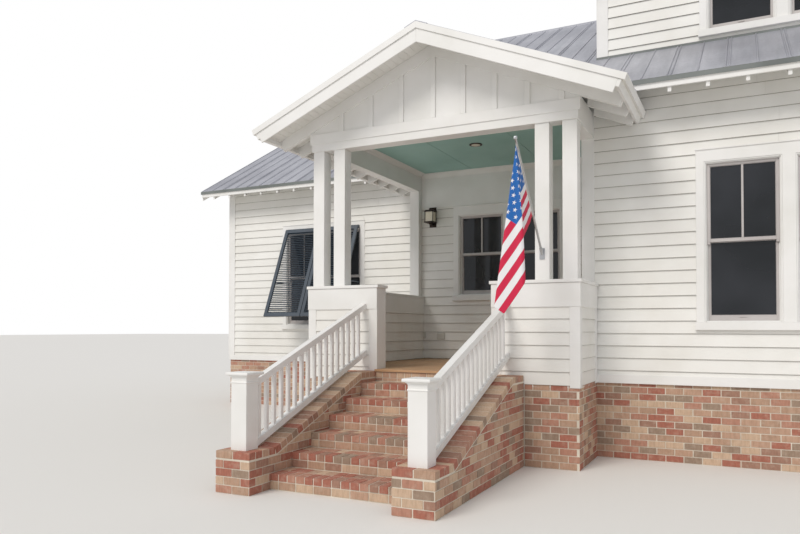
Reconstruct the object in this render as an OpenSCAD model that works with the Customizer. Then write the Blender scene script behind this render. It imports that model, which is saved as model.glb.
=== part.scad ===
// White lap-sided bungalow with a gabled entry porch, brick steps and a shed dormer.
// The house is drawn about the porch: X across the front, Y to the back, Z up from the ground.
// X = 0 is the middle of the porch, Y = 0 is the front face of its pedestals.

/* [Levels] */
// Height of one step
riser_h = 155; // [140:1:175]
// Number of risers from the ground to the porch floor
riser_count = 7; // [5:1:9]
// Height of the wall tops and the porch ceiling above the floor
ceiling_h = 3245; // [3150:5:3400]
// Height of the roof edge above the floor
eave_h = 3430; // [3400:5:3600]

/* [Walls] */
// Thickness of the outer walls
wall_t = 160; // [120:5:220]
// Thickness of the brick foundation walls
foundation_t = 260; // [220:10:400]
// How far the brick stays behind the face of the siding
foundation_inset = 15; // [0:1:40]
// Thickness of the flat trim boards
trim_t = 20; // [12:1:30]
// Width of the corner boards
corner_w = 140; // [90:5:180]
// Height of the skirt board above the brick
skirt_h = 109; // [60:1:150]

/* [House plan] */
// Width of the right-hand block
block_w = 4590; // [4200:10:5200]
// Width of the left-hand wing
wing_w = 4736; // [4200:10:5400]
// Distance from the pedestal faces back to the front of the block
block_y = 1032; // [900:5:1300]
// Distance from the pedestal faces back to the porch's back wall
back_y = 3260; // [2900:5:3500]
// Distance from the pedestal faces back to the front of the wing
wing_y = 4001; // [3800:5:4500]
// Distance from the pedestal faces back to the rear wall
rear_y = 10568; // [9800:10:11500]

/* [Porch] */
// Distance from the porch's middle to the outer face of a pedestal
porch_half = 1825; // [1700:5:2000]
// Distance from the porch's middle to the face of the block's side wall
block_x = 1655; // [1500:5:1700]
// Width of a pedestal
pedestal_w = 1053; // [900:1:1100]
// Depth of a pedestal
pedestal_d = 246; // [220:1:300]
// Height of the pedestal caps above the floor
pedestal_h = 1088; // [900:1:1200]
// Thickness of the low walls along the porch's sides
knee_t = 234; // [160:1:260]
// Thickness of the caps
cap_t = 38; // [25:1:60]
// Overhang of the caps
cap_over = 20; // [10:1:40]
// Width of the corner boards on the pedestals
stile_w = 120; // [90:1:150]
// Height of the flat board under the caps
top_board_h = 280; // [200:5:320]
// How far the boarding sits behind the corner boards
panel_back = 14; // [8:1:20]
// Thickness of the porch floor boards
plank_t = 30; // [20:1:45]
// Overhang of the porch floor over its front wall
floor_nose = 25; // [10:1:40]

/* [Columns and beams] */
// Side of a square column across the front
column_w = 171; // [140:1:190]
// Gap between the two columns of a pair
column_gap = 153; // [100:1:200]
// Distance from the porch's middle to the outer face of the columns
column_out = 1788; // [1650:1:1800]
// Set-back of the columns from the pedestal face
column_y = 56; // [30:1:70]
// Height of the beam's underside above the floor
beam_z = 2924; // [2750:1:2960]
// Depth of the beam from front to back
beam_t = 200; // [180:1:220]
// Height of the beam's lower board
beam_h = 101; // [80:1:140]
// Height of the frieze board over the beam
frieze_h = 137; // [100:1:180]
// Half length of the front beam
beam_half = 1804; // [1790:1:1820]
// Width of the cove board along the left side of the porch ceiling
cove_w = 85; // [60:1:110]
// Height of that cove board
cove_h = 60; // [40:1:90]

/* [Porch roof] */
// Height of the porch ridge above the floor
porch_peak = 4183; // [4120:1:4240]
// Rise of the porch roof in 1000 of run
porch_rise = 418; // [400:1:440]
// Half of the porch roof's span, edge to middle
porch_span = 2421; // [2300:1:2500]
// Overhang of the porch gable in front of the pedestal face
rake_y = 488; // [350:1:600]
// Depth of the roof edge, measured upright
deck_t = 78; // [50:1:90]
// Depth of the rake boards below the roof edge
rake_h = 164; // [120:1:200]
// How far the rake boards and tails stop short of the roof edge
rake_end = 95; // [60:1:120]
// Thickness of the boards along the porch eaves
eave_board_t = 40; // [30:1:50]
// Depth of the boards along the porch eaves
eave_board_h = 84; // [70:1:100]
// Width of a gable batten
batten_w = 65; // [40:1:80]
// Number of gable battens
batten_count = 9; // [5:2:13]
// Spacing of the gable battens right of the middle
batten_gap = 404; // [300:1:440]
// Spacing of the gable battens left of the middle
batten_gap_left = 444; // [300:1:450]

/* [Main roof] */
// Rise of the main roofs in 1000 of run
main_rise = 583; // [560:1:600]
// Overhang of the roof at the front and rear
eave_over = 492; // [400:1:560]
// Overhang of the roofs at the gable ends
gable_over = 400; // [250:5:500]
// Thickness of the main roofs, measured upright
roof_t = 60; // [40:1:80]
// Half width of the ridge caps
ridge_cap_w = 150; // [100:1:200]
// Thickness of the ridge caps
ridge_cap_t = 12; // [8:1:20]
// Height of the eave boards
fascia_h = 90; // [70:1:120]
// Height of the boards under the gable edges
gable_rake_h = 150; // [120:1:180]
// Thickness of the eave and rake boards
fascia_t = 22; // [15:1:30]
// How far those boards stay behind the roof's metal edge
edge_back = 16; // [8:1:25]
// Spacing of the rafters
rafter_gap = 406.4; // [380:0.1:620]
// Width of a rafter tail
rafter_w = 42; // [35:1:60]
// Depth of a rafter tail, measured upright
rafter_h = 140; // [110:1:160]

/* [Dormer] */
// Distance from the pedestal faces back to the dormer's front
dormer_y = 2080; // [1900:5:2400]
// Rise of the dormer roof in 1000 of run
dormer_rise = 167; // [140:1:180]
// Overhang of the dormer roof at its sides
dormer_over = 300; // [200:5:380]

/* [Windows and doors] */
// Width of a window opening
window_w = 815; // [760:1:830]
// Height of a tall window opening
window_h = 1904; // [1700:1:1950]
// Height of a tall window's sill above the floor
window_sill = 596; // [560:1:640]
// Gap between two windows of a pair
mullion_w = 135; // [110:1:150]
// Height of the porch windows' sill above the floor
porch_sill = 1088; // [1040:1:1150]
// Height of the porch windows' head above the floor
porch_head = 2472; // [2420:1:2490]
// Height of a dormer window opening
dormer_window_h = 1150; // [1000:1:1180]
// Height of the dormer windows' sill above the dormer roof line
dormer_sill = 150; // [120:1:200]
// Width of the flat casings beside the windows
casing_w = 92; // [70:1:110]
// Height of the flat casing over a window
head_h = 152; // [110:1:160]
// Height of a window sill board
sill_h = 90; // [60:1:120]
// Projection of a window sill from the wall
sill_out = 60; // [40:1:80]
// Depth of the window frames in the wall
frame_d = 90; // [70:1:110]
// Width of a sash's bars
frame_w = 46; // [30:1:55]
// Thickness of a sash
sash_t = 35; // [30:1:42]
// Thickness of the boards that line a window opening
jamb_t = 22; // [15:1:30]
// Height of the lower sash's bottom rail
bottom_rail_h = 78; // [50:1:100]
// Thickness of the glass
glass_t = 8; // [4:1:12]
// Set-back of the window frames behind the casings
frame_back = 25; // [15:1:40]
// Length of the wing's propped shutters
shutter_l = 1930; // [1700:1:1950]
// Lean of the propped shutters from upright
shutter_lean = 22.5; // [10:0.5:30]
// Thickness of the shutters
shutter_t = 35; // [28:1:45]
// Width of the shutters' stiles and rails
shutter_bar = 70; // [50:1:90]
// How far the shutters stop inside the outer edges of the window pair
shutter_inset = 27; // [0:1:40]
// Width of the front door
door_w = 914; // [800:1:1000]
// Height of the front door
door_h = 2134; // [2000:1:2300]
// Thickness of the front door
door_t = 45; // [40:1:60]
// Width of the door's stiles and rails
door_stile = 120; // [95:1:150]

/* [Steps] */
// Depth of a step
tread_run = 365; // [300:1:400]
// Distance from the porch's middle to the inner face of a cheek wall
steps_half = 766; // [650:1:770]
// Width of a cheek wall
cheek_w = 400; // [380:1:440]
// Height of the front piers above the ground
pier_h = 407; // [360:1:460]
// Length of the front piers
pier_l = 421; // [380:1:480]
// Rise of the cheek walls in 1000 of run
cheek_rise = 372; // [350:1:390]

/* [Railings] */
// Side of a square newel
newel_w = 188; // [140:1:200]
// Height of a newel with its cap above the pier
newel_h = 775; // [700:1:900]
// Height of the railing's top above the cheek wall, measured upright
rail_h = 720; // [640:1:760]
// Width of the rails
rail_w = 75; // [50:1:90]
// Depth of the rails, measured upright
rail_t = 70; // [50:1:90]
// Clear space under the bottom rail
rail_clear = 40; // [20:1:80]
// Side of a square baluster
baluster_w = 38; // [28:1:45]
// Number of balusters in a railing
baluster_count = 17; // [12:1:18]

/* [Flag] */
// Length of the flagpole
pole_l = 1524; // [1200:1:1560]
// Angle of the flagpole above level
pole_angle = 46.5; // [40:0.5:60]
// Diameter of the flagpole
pole_d = 25; // [20:1:32]
// Height of the pole's foot above the floor
pole_z = 1388; // [1250:1:1500]
// Height of the flag along the pole
flag_hoist = 914; // [600:1:1000]
// Length of the flag's long side
flag_fly = 1524; // [1000:1:1600]

/* [Hidden] */
$fn = 48;

// joint left between pieces that stand side by side
seat = 0.4;

// levels
floor_z = riser_h * riser_count;
found_h = floor_z - riser_h;
ceiling_z = floor_z + ceiling_h;
eave_z = floor_z + eave_h;
upper_floor_t = 155;

// plan
house_left = -column_out;
house_right = block_x + block_w;
wing_left = house_left - wing_w;
block_mid = block_x + block_w / 2;
eave_y = block_y - eave_over;
rear_eave_y = rear_y + eave_over;
wing_eave_y = wing_y - eave_over;
main_pitch = main_rise / 1000;
porch_pitch = porch_rise / 1000;
dormer_pitch = dormer_rise / 1000;
ridge_y = (eave_y + rear_eave_y) / 2;
wing_ridge_y = (wing_eave_y + rear_eave_y) / 2;
ridge_z = main_z(ridge_y);
porch_peak_z = floor_z + porch_peak;
dormer_z = main_z(dormer_y);
dormer_eave_y = dormer_y - eave_over;

// pedestals, columns and beams
cap_z = floor_z + pedestal_h;
beam_face = 19;
beam_y = column_y - beam_face;
beam_z0 = floor_z + beam_z;
gable_z0 = beam_z0 + beam_h + frieze_h;
frieze_out = 12;
frieze_over = 22;
fascia_lap = 30;
gable_back = 8;
gable_y = beam_y + gable_back;
gable_t = 60;
pilaster_d = 140;

// steps and railings
step_nose = 68;
steps_front = step_nose + tread_run * (riser_count - 1);
pier_reach = 333;
pier_front = steps_front + pier_reach;
cheek_mid = steps_half + cheek_w / 2;
cheek_foot_y = -(pier_front - pier_l);
newel_set = 84;
newel_y = -pier_front + newel_set;
cheek_drop = 27;
rail_slope = cheek_rise / 1000;

// whole plan, for the middle of the part
plan_left = wing_left - gable_over;
plan_right = house_right + gable_over;
plan_mid_x = (plan_left + plan_right) / 2;
plan_mid_y = (-pier_front + rear_eave_y) / 2;

// porch fittings
knee_y0 = pedestal_d;
door_y = (block_y + back_y) / 2;
flag_x = column_out - column_w * 1.5 - column_gap;
lantern_x = -1400;
lantern_z = floor_z + 2290;
lantern_h = 350;
lantern_out = 205;
light_x = -58;
light_y = (back_y + beam_y + beam_t) / 2;

// window places
end_window_gap = 2400;
wing_window_gap = 3000;
// share of a window's height at which its two sashes meet
meeting_share = 0.508;
sash_step = 3;
tall_z = floor_z + window_sill;
pair_pitch = window_w + mullion_w;
porch_pair_mid = -40;
wing_window_x = house_left - wing_w / 2;
porch_z = floor_z + porch_sill;
porch_window_h = porch_head - porch_sill;
dormer_window_z = dormer_z + dormer_sill;

white = "#f1efe9";
grey_metal = "#8f989e";
brick = "#9a6754";

// top of the front slope of the main roof
function main_z(y) = eave_z + (y - eave_y) * main_pitch;
// top of the rear slope
function rear_z(y) = eave_z + (rear_eave_y - y) * main_pitch;
// top of the front slope of the wing roof
function wing_z(y) = eave_z + (y - wing_eave_y) * main_pitch;
// top of the dormer roof, which starts at the main ridge
function dormer_top(y) = ridge_z + roof_t - (ridge_y - y) * dormer_pitch;
// top of the porch roof
function porch_top(x) = porch_peak_z - abs(x) * porch_pitch;
// top of a cheek wall, which slopes between the pier and the porch
function cheek_z(y) = min(pier_h + max(0, y - cheek_foot_y) * rail_slope, floor_z - cheek_drop);

// moves the house so that its middle stands over the origin
module in_place() {
  translate([-plan_mid_x, -plan_mid_y, 0])
    children();
}

// a plain block between two corners
module block(x0, x1, y0, y1, z0, z1) {
  translate([x0, y0, z0])
    cube([x1 - x0, y1 - y0, z1 - z0]);
}

// an outline in Y and Z, drawn out from x0 to x1
module side_profile(x0, x1, outline) {
  translate([x0, 0, 0])
    rotate([90, 0, 90])
      linear_extrude(x1 - x0)
        polygon(outline);
}

// an outline in X and Z, drawn out from y0 to y1
module front_profile(y0, y1, outline) {
  translate([0, y1, 0])
    rotate([90, 0, 0])
      linear_extrude(y1 - y0)
        polygon(outline);
}

// both sides of the porch's middle
module both_sides() {
  children();
  mirror([1, 0, 0])
    children();
}

// window openings of the front and rear walls, as [middle x, sill z, width, height]
function pair(mid, z, h) = [for (s = [-0.5, 0.5]) [mid + s * pair_pitch, z, window_w, h]];
block_windows = pair(block_mid, tall_z, window_h);
porch_windows = pair(porch_pair_mid, porch_z, porch_window_h);
wing_windows = pair(wing_window_x, tall_z, window_h);
dormer_windows = pair(block_mid, dormer_window_z, dormer_window_h);
rear_window_xs = [for (i = [0:4]) wing_left + (i + 0.5) * (house_right - wing_left) / 5];
rear_windows = [for (x = rear_window_xs) [x, porch_z, window_w, porch_window_h]];
// window openings of the end walls, as [middle y, sill z, width, height]
right_end_windows = [
  for (i = [-1:1]) [ridge_y + i * end_window_gap, tall_z, window_w, window_h]
];
wing_end_windows = [
  for (i = [-0.5, 0.5]) [wing_ridge_y + i * wing_window_gap, tall_z, window_w, window_h]
];

// cuts windows through a wall that runs along X
module cut_along_x(windows, y) {
  for (w = windows)
    block(w[0] - w[2] / 2, w[0] + w[2] / 2, y - 1, y + wall_t + 1, w[1], w[1] + w[3]);
}

// cuts windows through a wall that runs along Y
module cut_along_y(windows, x) {
  for (w = windows)
    block(x - 1, x + wall_t + 1, w[0] - w[2] / 2, w[0] + w[2] / 2, w[1], w[1] + w[3]);
}

// a straight brick footing wall, with its face set back under the siding
module footing_x(x0, x1, y) {
  block(x0 + foundation_t + seat, x1 - foundation_t - seat, y, y + foundation_t, 0, found_h);
}

module footing_y(y0, y1, x) {
  block(x, x + foundation_t, y0, y1, 0, found_h);
}

module foundation() {
  f = foundation_inset;
  in_place()
    color(brick) {
      left_x = house_left + f;
      right_x = house_right - f - foundation_t;
      wing_x = wing_left + f;
      block_left = block_x + f;
      footing_y(wing_y + f, rear_y - f, wing_x);
      footing_y(block_y + f, rear_y - f, right_x);
      footing_x(wing_x, left_x + foundation_t, wing_y + f);
      footing_x(wing_x, right_x + foundation_t, rear_y - f - foundation_t);
      footing_y(knee_y0 + seat, wing_y + f + foundation_t, left_x);
      footing_y(block_y + f, back_y + f - seat, block_left);
      footing_x(block_left, right_x + foundation_t, block_y + f);
      block(left_x + foundation_t + seat, right_x - seat, back_y + f, back_y + f + foundation_t, 0, found_h);
      both_sides()
        block(steps_half + f, porch_half - f, f, knee_y0, 0, found_h);
      block(-steps_half - f + seat, steps_half + f - seat, -step_nose + floor_nose, knee_y0, 0, floor_z - plank_t);
      block(block_left, porch_half - f, knee_y0 + seat, block_y + f - seat, 0, found_h);
    }
}

module house_floor() {
  in_place()
    color("#b08d63") {
      block(wing_left + wall_t, house_left, wing_y + wall_t, rear_y - wall_t, found_h, floor_z);
      block(house_left + seat, house_right - wall_t, back_y + wall_t, rear_y - wall_t, found_h, floor_z);
      block(block_x + wall_t, house_right - wall_t, block_y + wall_t, back_y + wall_t - seat, found_h, floor_z);
    }
}

module upper_floor() {
  z = ceiling_z;
  in_place()
    color("#b08d63") {
      block(house_left + wall_t, house_right - wall_t, back_y + wall_t, rear_y - wall_t, z, z + upper_floor_t);
      block(block_x + wall_t, house_right - wall_t, block_y + wall_t, back_y + wall_t - seat, z, z + upper_floor_t);
    }
}

module porch_floor() {
  x = porch_half - knee_t;
  in_place()
    color("#b98f68") {
      block(-x, block_x, pedestal_d, back_y, floor_z - plank_t, floor_z);
      block(-porch_half + pedestal_w, porch_half - pedestal_w, -step_nose, pedestal_d - seat,
        floor_z - plank_t, floor_z);
    }
}

// a wall along X whose top follows the roof over it
module wall_x(x0, x1, y, z_front, z_back) {
  side_profile(x0, x1, [[y, found_h], [y + wall_t, found_h], [y + wall_t, z_back], [y, z_front]]);
}

module right_front_wall() {
  y = block_y;
  in_place()
    color(white)
      difference() {
        wall_x(block_x, house_right - wall_t - seat, y, main_z(y) - roof_t, main_z(y + wall_t) - roof_t);
        cut_along_x(block_windows, y);
      }
}

module porch_back_wall() {
  in_place()
    color(white)
      difference() {
        block(house_left + wall_t + seat, block_x - seat, back_y, back_y + wall_t, found_h, ceiling_z);
        cut_along_x(porch_windows, back_y);
      }
}

module porch_side_wall() {
  in_place()
    color(white)
      difference() {
        block(block_x, block_x + wall_t, block_y + wall_t + seat, back_y + wall_t, found_h, ceiling_z);
        block(block_x - 1, block_x + wall_t + 1, door_y - door_w / 2, door_y + door_w / 2,
          floor_z, floor_z + door_h);
      }
}

module wing_front_wall() {
  y = wing_y;
  in_place()
    color(white)
      difference() {
        wall_x(wing_left + wall_t + seat, house_left - seat, y, wing_z(y) - roof_t, wing_z(y + wall_t) - roof_t);
        cut_along_x(wing_windows, y);
      }
}

module wing_end_wall() {
  r = wing_ridge_y;
  in_place()
    color(white)
      difference() {
        side_profile(wing_left, wing_left + wall_t, [
          [wing_y, found_h],
          [rear_y, found_h],
          [rear_y, rear_z(rear_y) - roof_t],
          [r, rear_z(r) - roof_t],
          [wing_y, wing_z(wing_y) - roof_t]
        ]);
        cut_along_y(wing_end_windows, wing_left);
      }
}

module right_end_wall() {
  r = ridge_y;
  in_place()
    color(white)
      difference() {
        side_profile(house_right - wall_t, house_right, [
          [block_y, found_h],
          [rear_y, found_h],
          [rear_y, rear_z(rear_y) - roof_t],
          [r, ridge_z - roof_t],
          [block_y, main_z(block_y) - roof_t]
        ]);
        cut_along_y(right_end_windows, house_right - wall_t);
      }
}

module rear_wall() {
  y = rear_y - wall_t;
  in_place()
    color(white)
      difference() {
        wall_x(wing_left + wall_t + seat, house_right - wall_t - seat, y, rear_z(y) - roof_t, rear_z(rear_y) - roof_t);
        cut_along_x(rear_windows, y);
      }
}

// stands on the porch's side beam and closes the main gable over the wing
module left_gable_wall() {
  x1 = house_left + wall_t;
  return_y = wing_y + wall_t;
  in_place()
    color(white)
      side_profile(house_left, x1, [
        [block_y, ceiling_z],
        [back_y, ceiling_z],
        [back_y, found_h],
        [return_y, found_h],
        [return_y, ceiling_z],
        [rear_y - wall_t - seat, ceiling_z],
        [rear_y - wall_t - seat, rear_z(rear_y - wall_t) - roof_t],
        [ridge_y, ridge_z - roof_t],
        [block_y, main_z(block_y) - roof_t]
      ]);
}

module dormer_front_wall() {
  y0 = dormer_y;
  y1 = dormer_y + wall_t;
  in_place()
    color(white)
      difference() {
        side_profile(block_x, house_right, [
          [y0, main_z(y0)],
          [y1, main_z(y1)],
          [y1, dormer_top(y1) - roof_t],
          [y0, dormer_top(y0) - roof_t]
        ]);
        cut_along_x(dormer_windows, y0);
      }
}

module dormer_side_walls() {
  y0 = dormer_y + wall_t + seat;
  outline = [[y0, main_z(y0)], [ridge_y, ridge_z], [y0, dormer_top(y0) - roof_t]];
  in_place()
    color(white) {
      side_profile(block_x, block_x + wall_t, outline);
      side_profile(house_right - wall_t, house_right, outline);
    }
}

module skirt_boards() {
  z1 = found_h + skirt_h;
  in_place()
    color(white) {
      block(block_x, house_right, block_y - trim_t, block_y, found_h, z1);
      block(house_right, house_right + trim_t, block_y, rear_y, found_h, z1);
      block(wing_left, house_right, rear_y, rear_y + trim_t, found_h, z1);
      block(wing_left - trim_t, wing_left, wing_y, rear_y, found_h, z1);
      block(wing_left, house_left - seat, wing_y - trim_t, wing_y, found_h, z1);
    }
}

// an upright corner board on a wall's face
module corner_board(x0, y0, z0, z1) {
  block(x0, x0 + corner_w, y0 - trim_t, y0, z0, z1);
}

module corner_boards() {
  z0 = found_h + skirt_h;
  z1 = main_z(block_y - trim_t) - roof_t - rafter_h;
  in_place()
    color(white) {
      corner_board(block_x, block_y, z0, z1);
      corner_board(house_right - corner_w, block_y, z0, z1);
      corner_board(wing_left, wing_y, z0, z1);
      corner_board(block_x, dormer_y, main_z(dormer_y), dormer_top(dormer_y - trim_t) - roof_t);
      corner_board(house_right - corner_w, dormer_y, main_z(dormer_y), dormer_top(dormer_y - trim_t) - roof_t);
    }
}

// levels between which the boarding under a cap lies
panel_z0 = found_h - 1;
panel_z1 = cap_z - cap_t - top_board_h;

module pedestals() {
  x0 = porch_half - pedestal_w;
  in_place()
    color(white)
      both_sides()
        difference() {
          block(x0, porch_half, 0, pedestal_d, found_h, cap_z - cap_t);
          block(x0 + stile_w, porch_half - stile_w, -1, panel_back, panel_z0, panel_z1);
          block(porch_half - panel_back, porch_half + 1, stile_w, pedestal_d + 1, panel_z0, panel_z1);
        }
}

// a low wall whose outer face, and inner face where it is seen, is set back between its boards
module knee_wall(y1, inner) {
  x0 = porch_half - knee_t;
  difference() {
    block(x0, porch_half, pedestal_d, y1, found_h, cap_z - cap_t);
    block(porch_half - panel_back, porch_half + 1, pedestal_d - 1, y1 - stile_w, panel_z0, panel_z1);
    if (inner)
      block(x0 - 1, x0 + panel_back, pedestal_d - 1, y1 - trim_t, floor_z, panel_z1);
  }
}

module knee_walls() {
  in_place()
    color(white) {
      mirror([1, 0, 0])
        knee_wall(back_y, true);
      knee_wall(block_y - trim_t, false);
    }
}

module pedestal_caps() {
  o = cap_over;
  x0 = porch_half - pedestal_w - o;
  k0 = porch_half - knee_t - o;
  in_place()
    color(white) {
      both_sides()
        block(x0, porch_half + o, -o, pedestal_d + o, cap_z - cap_t, cap_z);
      block(-porch_half - o, -k0, pedestal_d + o, back_y, cap_z - cap_t, cap_z);
      block(k0, porch_half + o, pedestal_d + o, block_y - trim_t, cap_z - cap_t, cap_z);
    }
}

module columns() {
  x1 = column_out;
  x2 = column_out - column_w - column_gap;
  in_place()
    color(white)
      both_sides() {
        block(x1 - column_w, x1, column_y, column_y + column_w, cap_z, beam_z0);
        block(x2 - column_w, x2, column_y, column_y + column_w, cap_z, beam_z0);
      }
}

module pilaster() {
  in_place()
    color(white)
      block(-column_out, -column_out + column_w, back_y - pilaster_d, back_y, cap_z, beam_z0);
}

module front_beam() {
  y0 = beam_y;
  y1 = gable_y + gable_t;
  y2 = beam_y + beam_t;
  in_place()
    color(white) {
      side_profile(-beam_half, beam_half, [
        [y0, beam_z0],
        [y2, beam_z0],
        [y2, ceiling_z],
        [y1, ceiling_z],
        [y1, gable_z0],
        [y0, gable_z0]
      ]);
      block(-beam_half - frieze_over, beam_half + frieze_over, beam_y - frieze_out, beam_y - seat,
        beam_z0 + beam_h, gable_z0);
    }
}

// a cove board in the corner between a beam and the ceiling, along Y
module cove_along_y(x, dir, y0, y1) {
  front_profile(y0, y1, [
    [x, ceiling_z],
    [x, ceiling_z - cove_h],
    [x + dir * 12, ceiling_z - cove_h],
    [x + dir * cove_w * 0.4, ceiling_z - cove_h * 0.55],
    [x + dir * cove_w, ceiling_z - 12],
    [x + dir * cove_w, ceiling_z]
  ]);
}

module side_beams() {
  x0 = column_out - column_w;
  y0 = beam_y + beam_t;
  in_place()
    color(white) {
      cove_along_y(-x0, 1, y0 + seat, back_y - seat);
      block(-column_out, -x0, y0, back_y - seat, beam_z0, ceiling_z);
      block(x0, column_out, y0, block_y - trim_t, beam_z0, ceiling_z);
    }
}

module porch_ceiling() {
  in_place()
    color("#7fb0a8")
      block(house_left + wall_t + seat, block_x - seat, gable_y + gable_t, back_y, ceiling_z, ceiling_z + 25);
}

// the gable end over the beam
module porch_gable_wall() {
  z0 = gable_z0;
  x = beam_half + frieze_over;
  z1 = porch_top(x) - deck_t;
  in_place()
    color(white)
      front_profile(gable_y, gable_y + gable_t, [[-x, z0], [x, z0], [x, z1], [0, porch_peak_z - deck_t], [-x, z1]]);
}

// upright battens, which stop under the raking frieze board
module gable_battens() {
  y0 = gable_y - trim_t;
  drop = deck_t + rake_h + seat;
  n = (batten_count - 1) / 2;
  in_place()
    color(white)
      for (i = [-n:n]) {
        x = i * (i < 0 ? batten_gap_left : batten_gap);
        x0 = x - batten_w / 2;
        x1 = x + batten_w / 2;
        if (porch_top(abs(x) + batten_w / 2) - drop > gable_z0 + batten_w)
          front_profile(y0, gable_y, [
            [x0, gable_z0],
            [x1, gable_z0],
            [x1, porch_top(x1) - drop],
            if (i == 0) [0, porch_top(0) - drop],
            [x0, porch_top(x0) - drop]
          ]);
      }
}

// inward and downward run of a cut square to the porch slope, for a board one unit deep measured upright
square_cut = porch_pitch / (1 + porch_pitch * porch_pitch);
square_drop = 1 / (1 + porch_pitch * porch_pitch);

// one slope of the porch roof, from the ridge down to the eave
module porch_slope(y1) {
  s = porch_span;
  front_profile(-rake_y, y1, [
    [seat / 2, porch_top(0) - deck_t],
    [s - square_cut * deck_t, porch_top(s) - square_drop * deck_t],
    [s, porch_top(s)],
    [seat / 2, porch_top(0)]
  ]);
}

// space under the top of the main roof
module under_main_roof(x0, x1) {
  side_profile(x0, x1, [[eave_y, 0], [ridge_y, 0], [ridge_y, ridge_z], [eave_y, eave_z]]);
}

module porch_roof() {
  in_place()
    color(grey_metal)
      difference() {
        union() {
          porch_slope(block_y - trim_t);
          mirror([1, 0, 0])
            porch_slope(wing_y);
          porch_slope_back();
        }
        under_main_roof(house_left, block_x);
        main_front_slab();
        wing_front_slab();
      }
}

// the part of the right slope that runs up to the valley
module porch_slope_back() {
  x = block_x;
  front_profile(block_y - trim_t - 1, wing_y, [
    [seat / 2, porch_top(0) - deck_t],
    [x, porch_top(x) - deck_t],
    [x, porch_top(x)],
    [seat / 2, porch_top(0)]
  ]);
}

// a board under the porch roof from x0 out to its square-cut end
module porch_raking_board(x0, y, t) {
  x1 = porch_span - rake_end;
  x2 = x1 - rake_h * square_cut;
  front_profile(y, y + t, [
    [x0, porch_top(x0) - deck_t - rake_h],
    [x2, porch_top(x2) - deck_t - rake_h],
    [x1, porch_top(x1) - deck_t],
    [x0, porch_top(x0) - deck_t]
  ]);
}

module porch_rake_boards() {
  in_place()
    color(white)
      both_sides()
        porch_raking_board(seat / 2, -rake_y + edge_back, fascia_t);
}

// one rafter tail of the porch eave, hung under the roof
module porch_tail(y) {
  porch_raking_board(max(column_out, beam_half + frieze_over) + seat, y, rafter_w);
}

module porch_rafter_tails() {
  y0 = gable_y;
  in_place()
    color(white) {
      both_sides()
        porch_raking_board(seat / 2, gable_y - trim_t, trim_t);
      for (y = [y0 : rafter_gap : wing_y - rafter_w - 1])
        mirror([1, 0, 0])
          porch_tail(y);
      for (y = [y0 : rafter_gap : block_y - trim_t - rafter_w - 1])
        porch_tail(y);
    }
}

// boards along the porch eaves, square to the slope, over the ends of the tails
module porch_eave_boards() {
  slope = atan(porch_pitch);
  x = porch_span - rake_end;
  inner = [x, porch_top(x) - deck_t];
  down = eave_board_h * [-sin(slope), -cos(slope)];
  out = eave_board_t * [cos(slope), -sin(slope)];
  outline = [inner, inner + down, inner + down + out, inner + out];
  in_place()
    color(white) {
      front_profile(-rake_y + edge_back, block_y - trim_t, outline);
      mirror([1, 0, 0])
        front_profile(-rake_y + edge_back, wing_y, outline);
    }
}

module main_front_slab() {
  y1 = dormer_y + wall_t;
  side_profile(house_left - gable_over, house_right + gable_over, [
    [eave_y, eave_z - roof_t],
    [y1, main_z(y1) - roof_t],
    [y1, main_z(y1)],
    [eave_y, eave_z]
  ]);
}

module main_roof_front() {
  in_place()
    color(grey_metal)
      main_front_slab();
}

module main_upper_slab(x0, x1) {
  y0 = dormer_y + wall_t + seat;
  y1 = ridge_y - seat / 2;
  side_profile(x0, x1, [
    [y0, main_z(y0) - roof_t],
    [y1, main_z(y1) - roof_t],
    [y1, main_z(y1)],
    [y0, main_z(y0)]
  ]);
}

module main_roof_upper() {
  in_place()
    color(grey_metal) {
      main_upper_slab(house_left - gable_over, block_x + wall_t);
      main_upper_slab(house_right - wall_t, house_right + gable_over);
    }
}

module main_rear_slab() {
  y0 = ridge_y + seat / 2;
  side_profile(house_left - gable_over, house_right + gable_over, [
    [y0, rear_z(y0) - roof_t],
    [rear_eave_y, eave_z - roof_t],
    [rear_eave_y, eave_z],
    [y0, rear_z(y0)]
  ]);
}

module main_roof_rear() {
  in_place()
    color(grey_metal)
      main_rear_slab();
}

module wing_front_slab() {
  y1 = wing_ridge_y - seat / 2;
  side_profile(wing_left - gable_over, house_left - seat, [
    [wing_eave_y, eave_z - roof_t],
    [y1, wing_z(y1) - roof_t],
    [y1, wing_z(y1)],
    [wing_eave_y, eave_z]
  ]);
}

module wing_rear_slab() {
  y0 = wing_ridge_y + seat / 2;
  side_profile(wing_left - gable_over, house_left - gable_over - seat, [
    [y0, rear_z(y0) - roof_t],
    [rear_eave_y, eave_z - roof_t],
    [rear_eave_y, eave_z],
    [y0, rear_z(y0)]
  ]);
}

module wing_roof() {
  in_place()
    color(grey_metal) {
      difference() {
        wing_front_slab();
        main_rear_slab();
      }
      wing_rear_slab();
    }
}

module dormer_roof() {
  x0 = block_x - dormer_over;
  x1 = house_right + dormer_over;
  y1 = ridge_y;
  in_place()
    color(grey_metal)
      side_profile(x0, x1, [
        [dormer_eave_y, dormer_top(dormer_eave_y) - roof_t],
        [y1, dormer_top(y1) - roof_t],
        [y1, dormer_top(y1)],
        [dormer_eave_y, dormer_top(dormer_eave_y)]
      ]);
}

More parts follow.
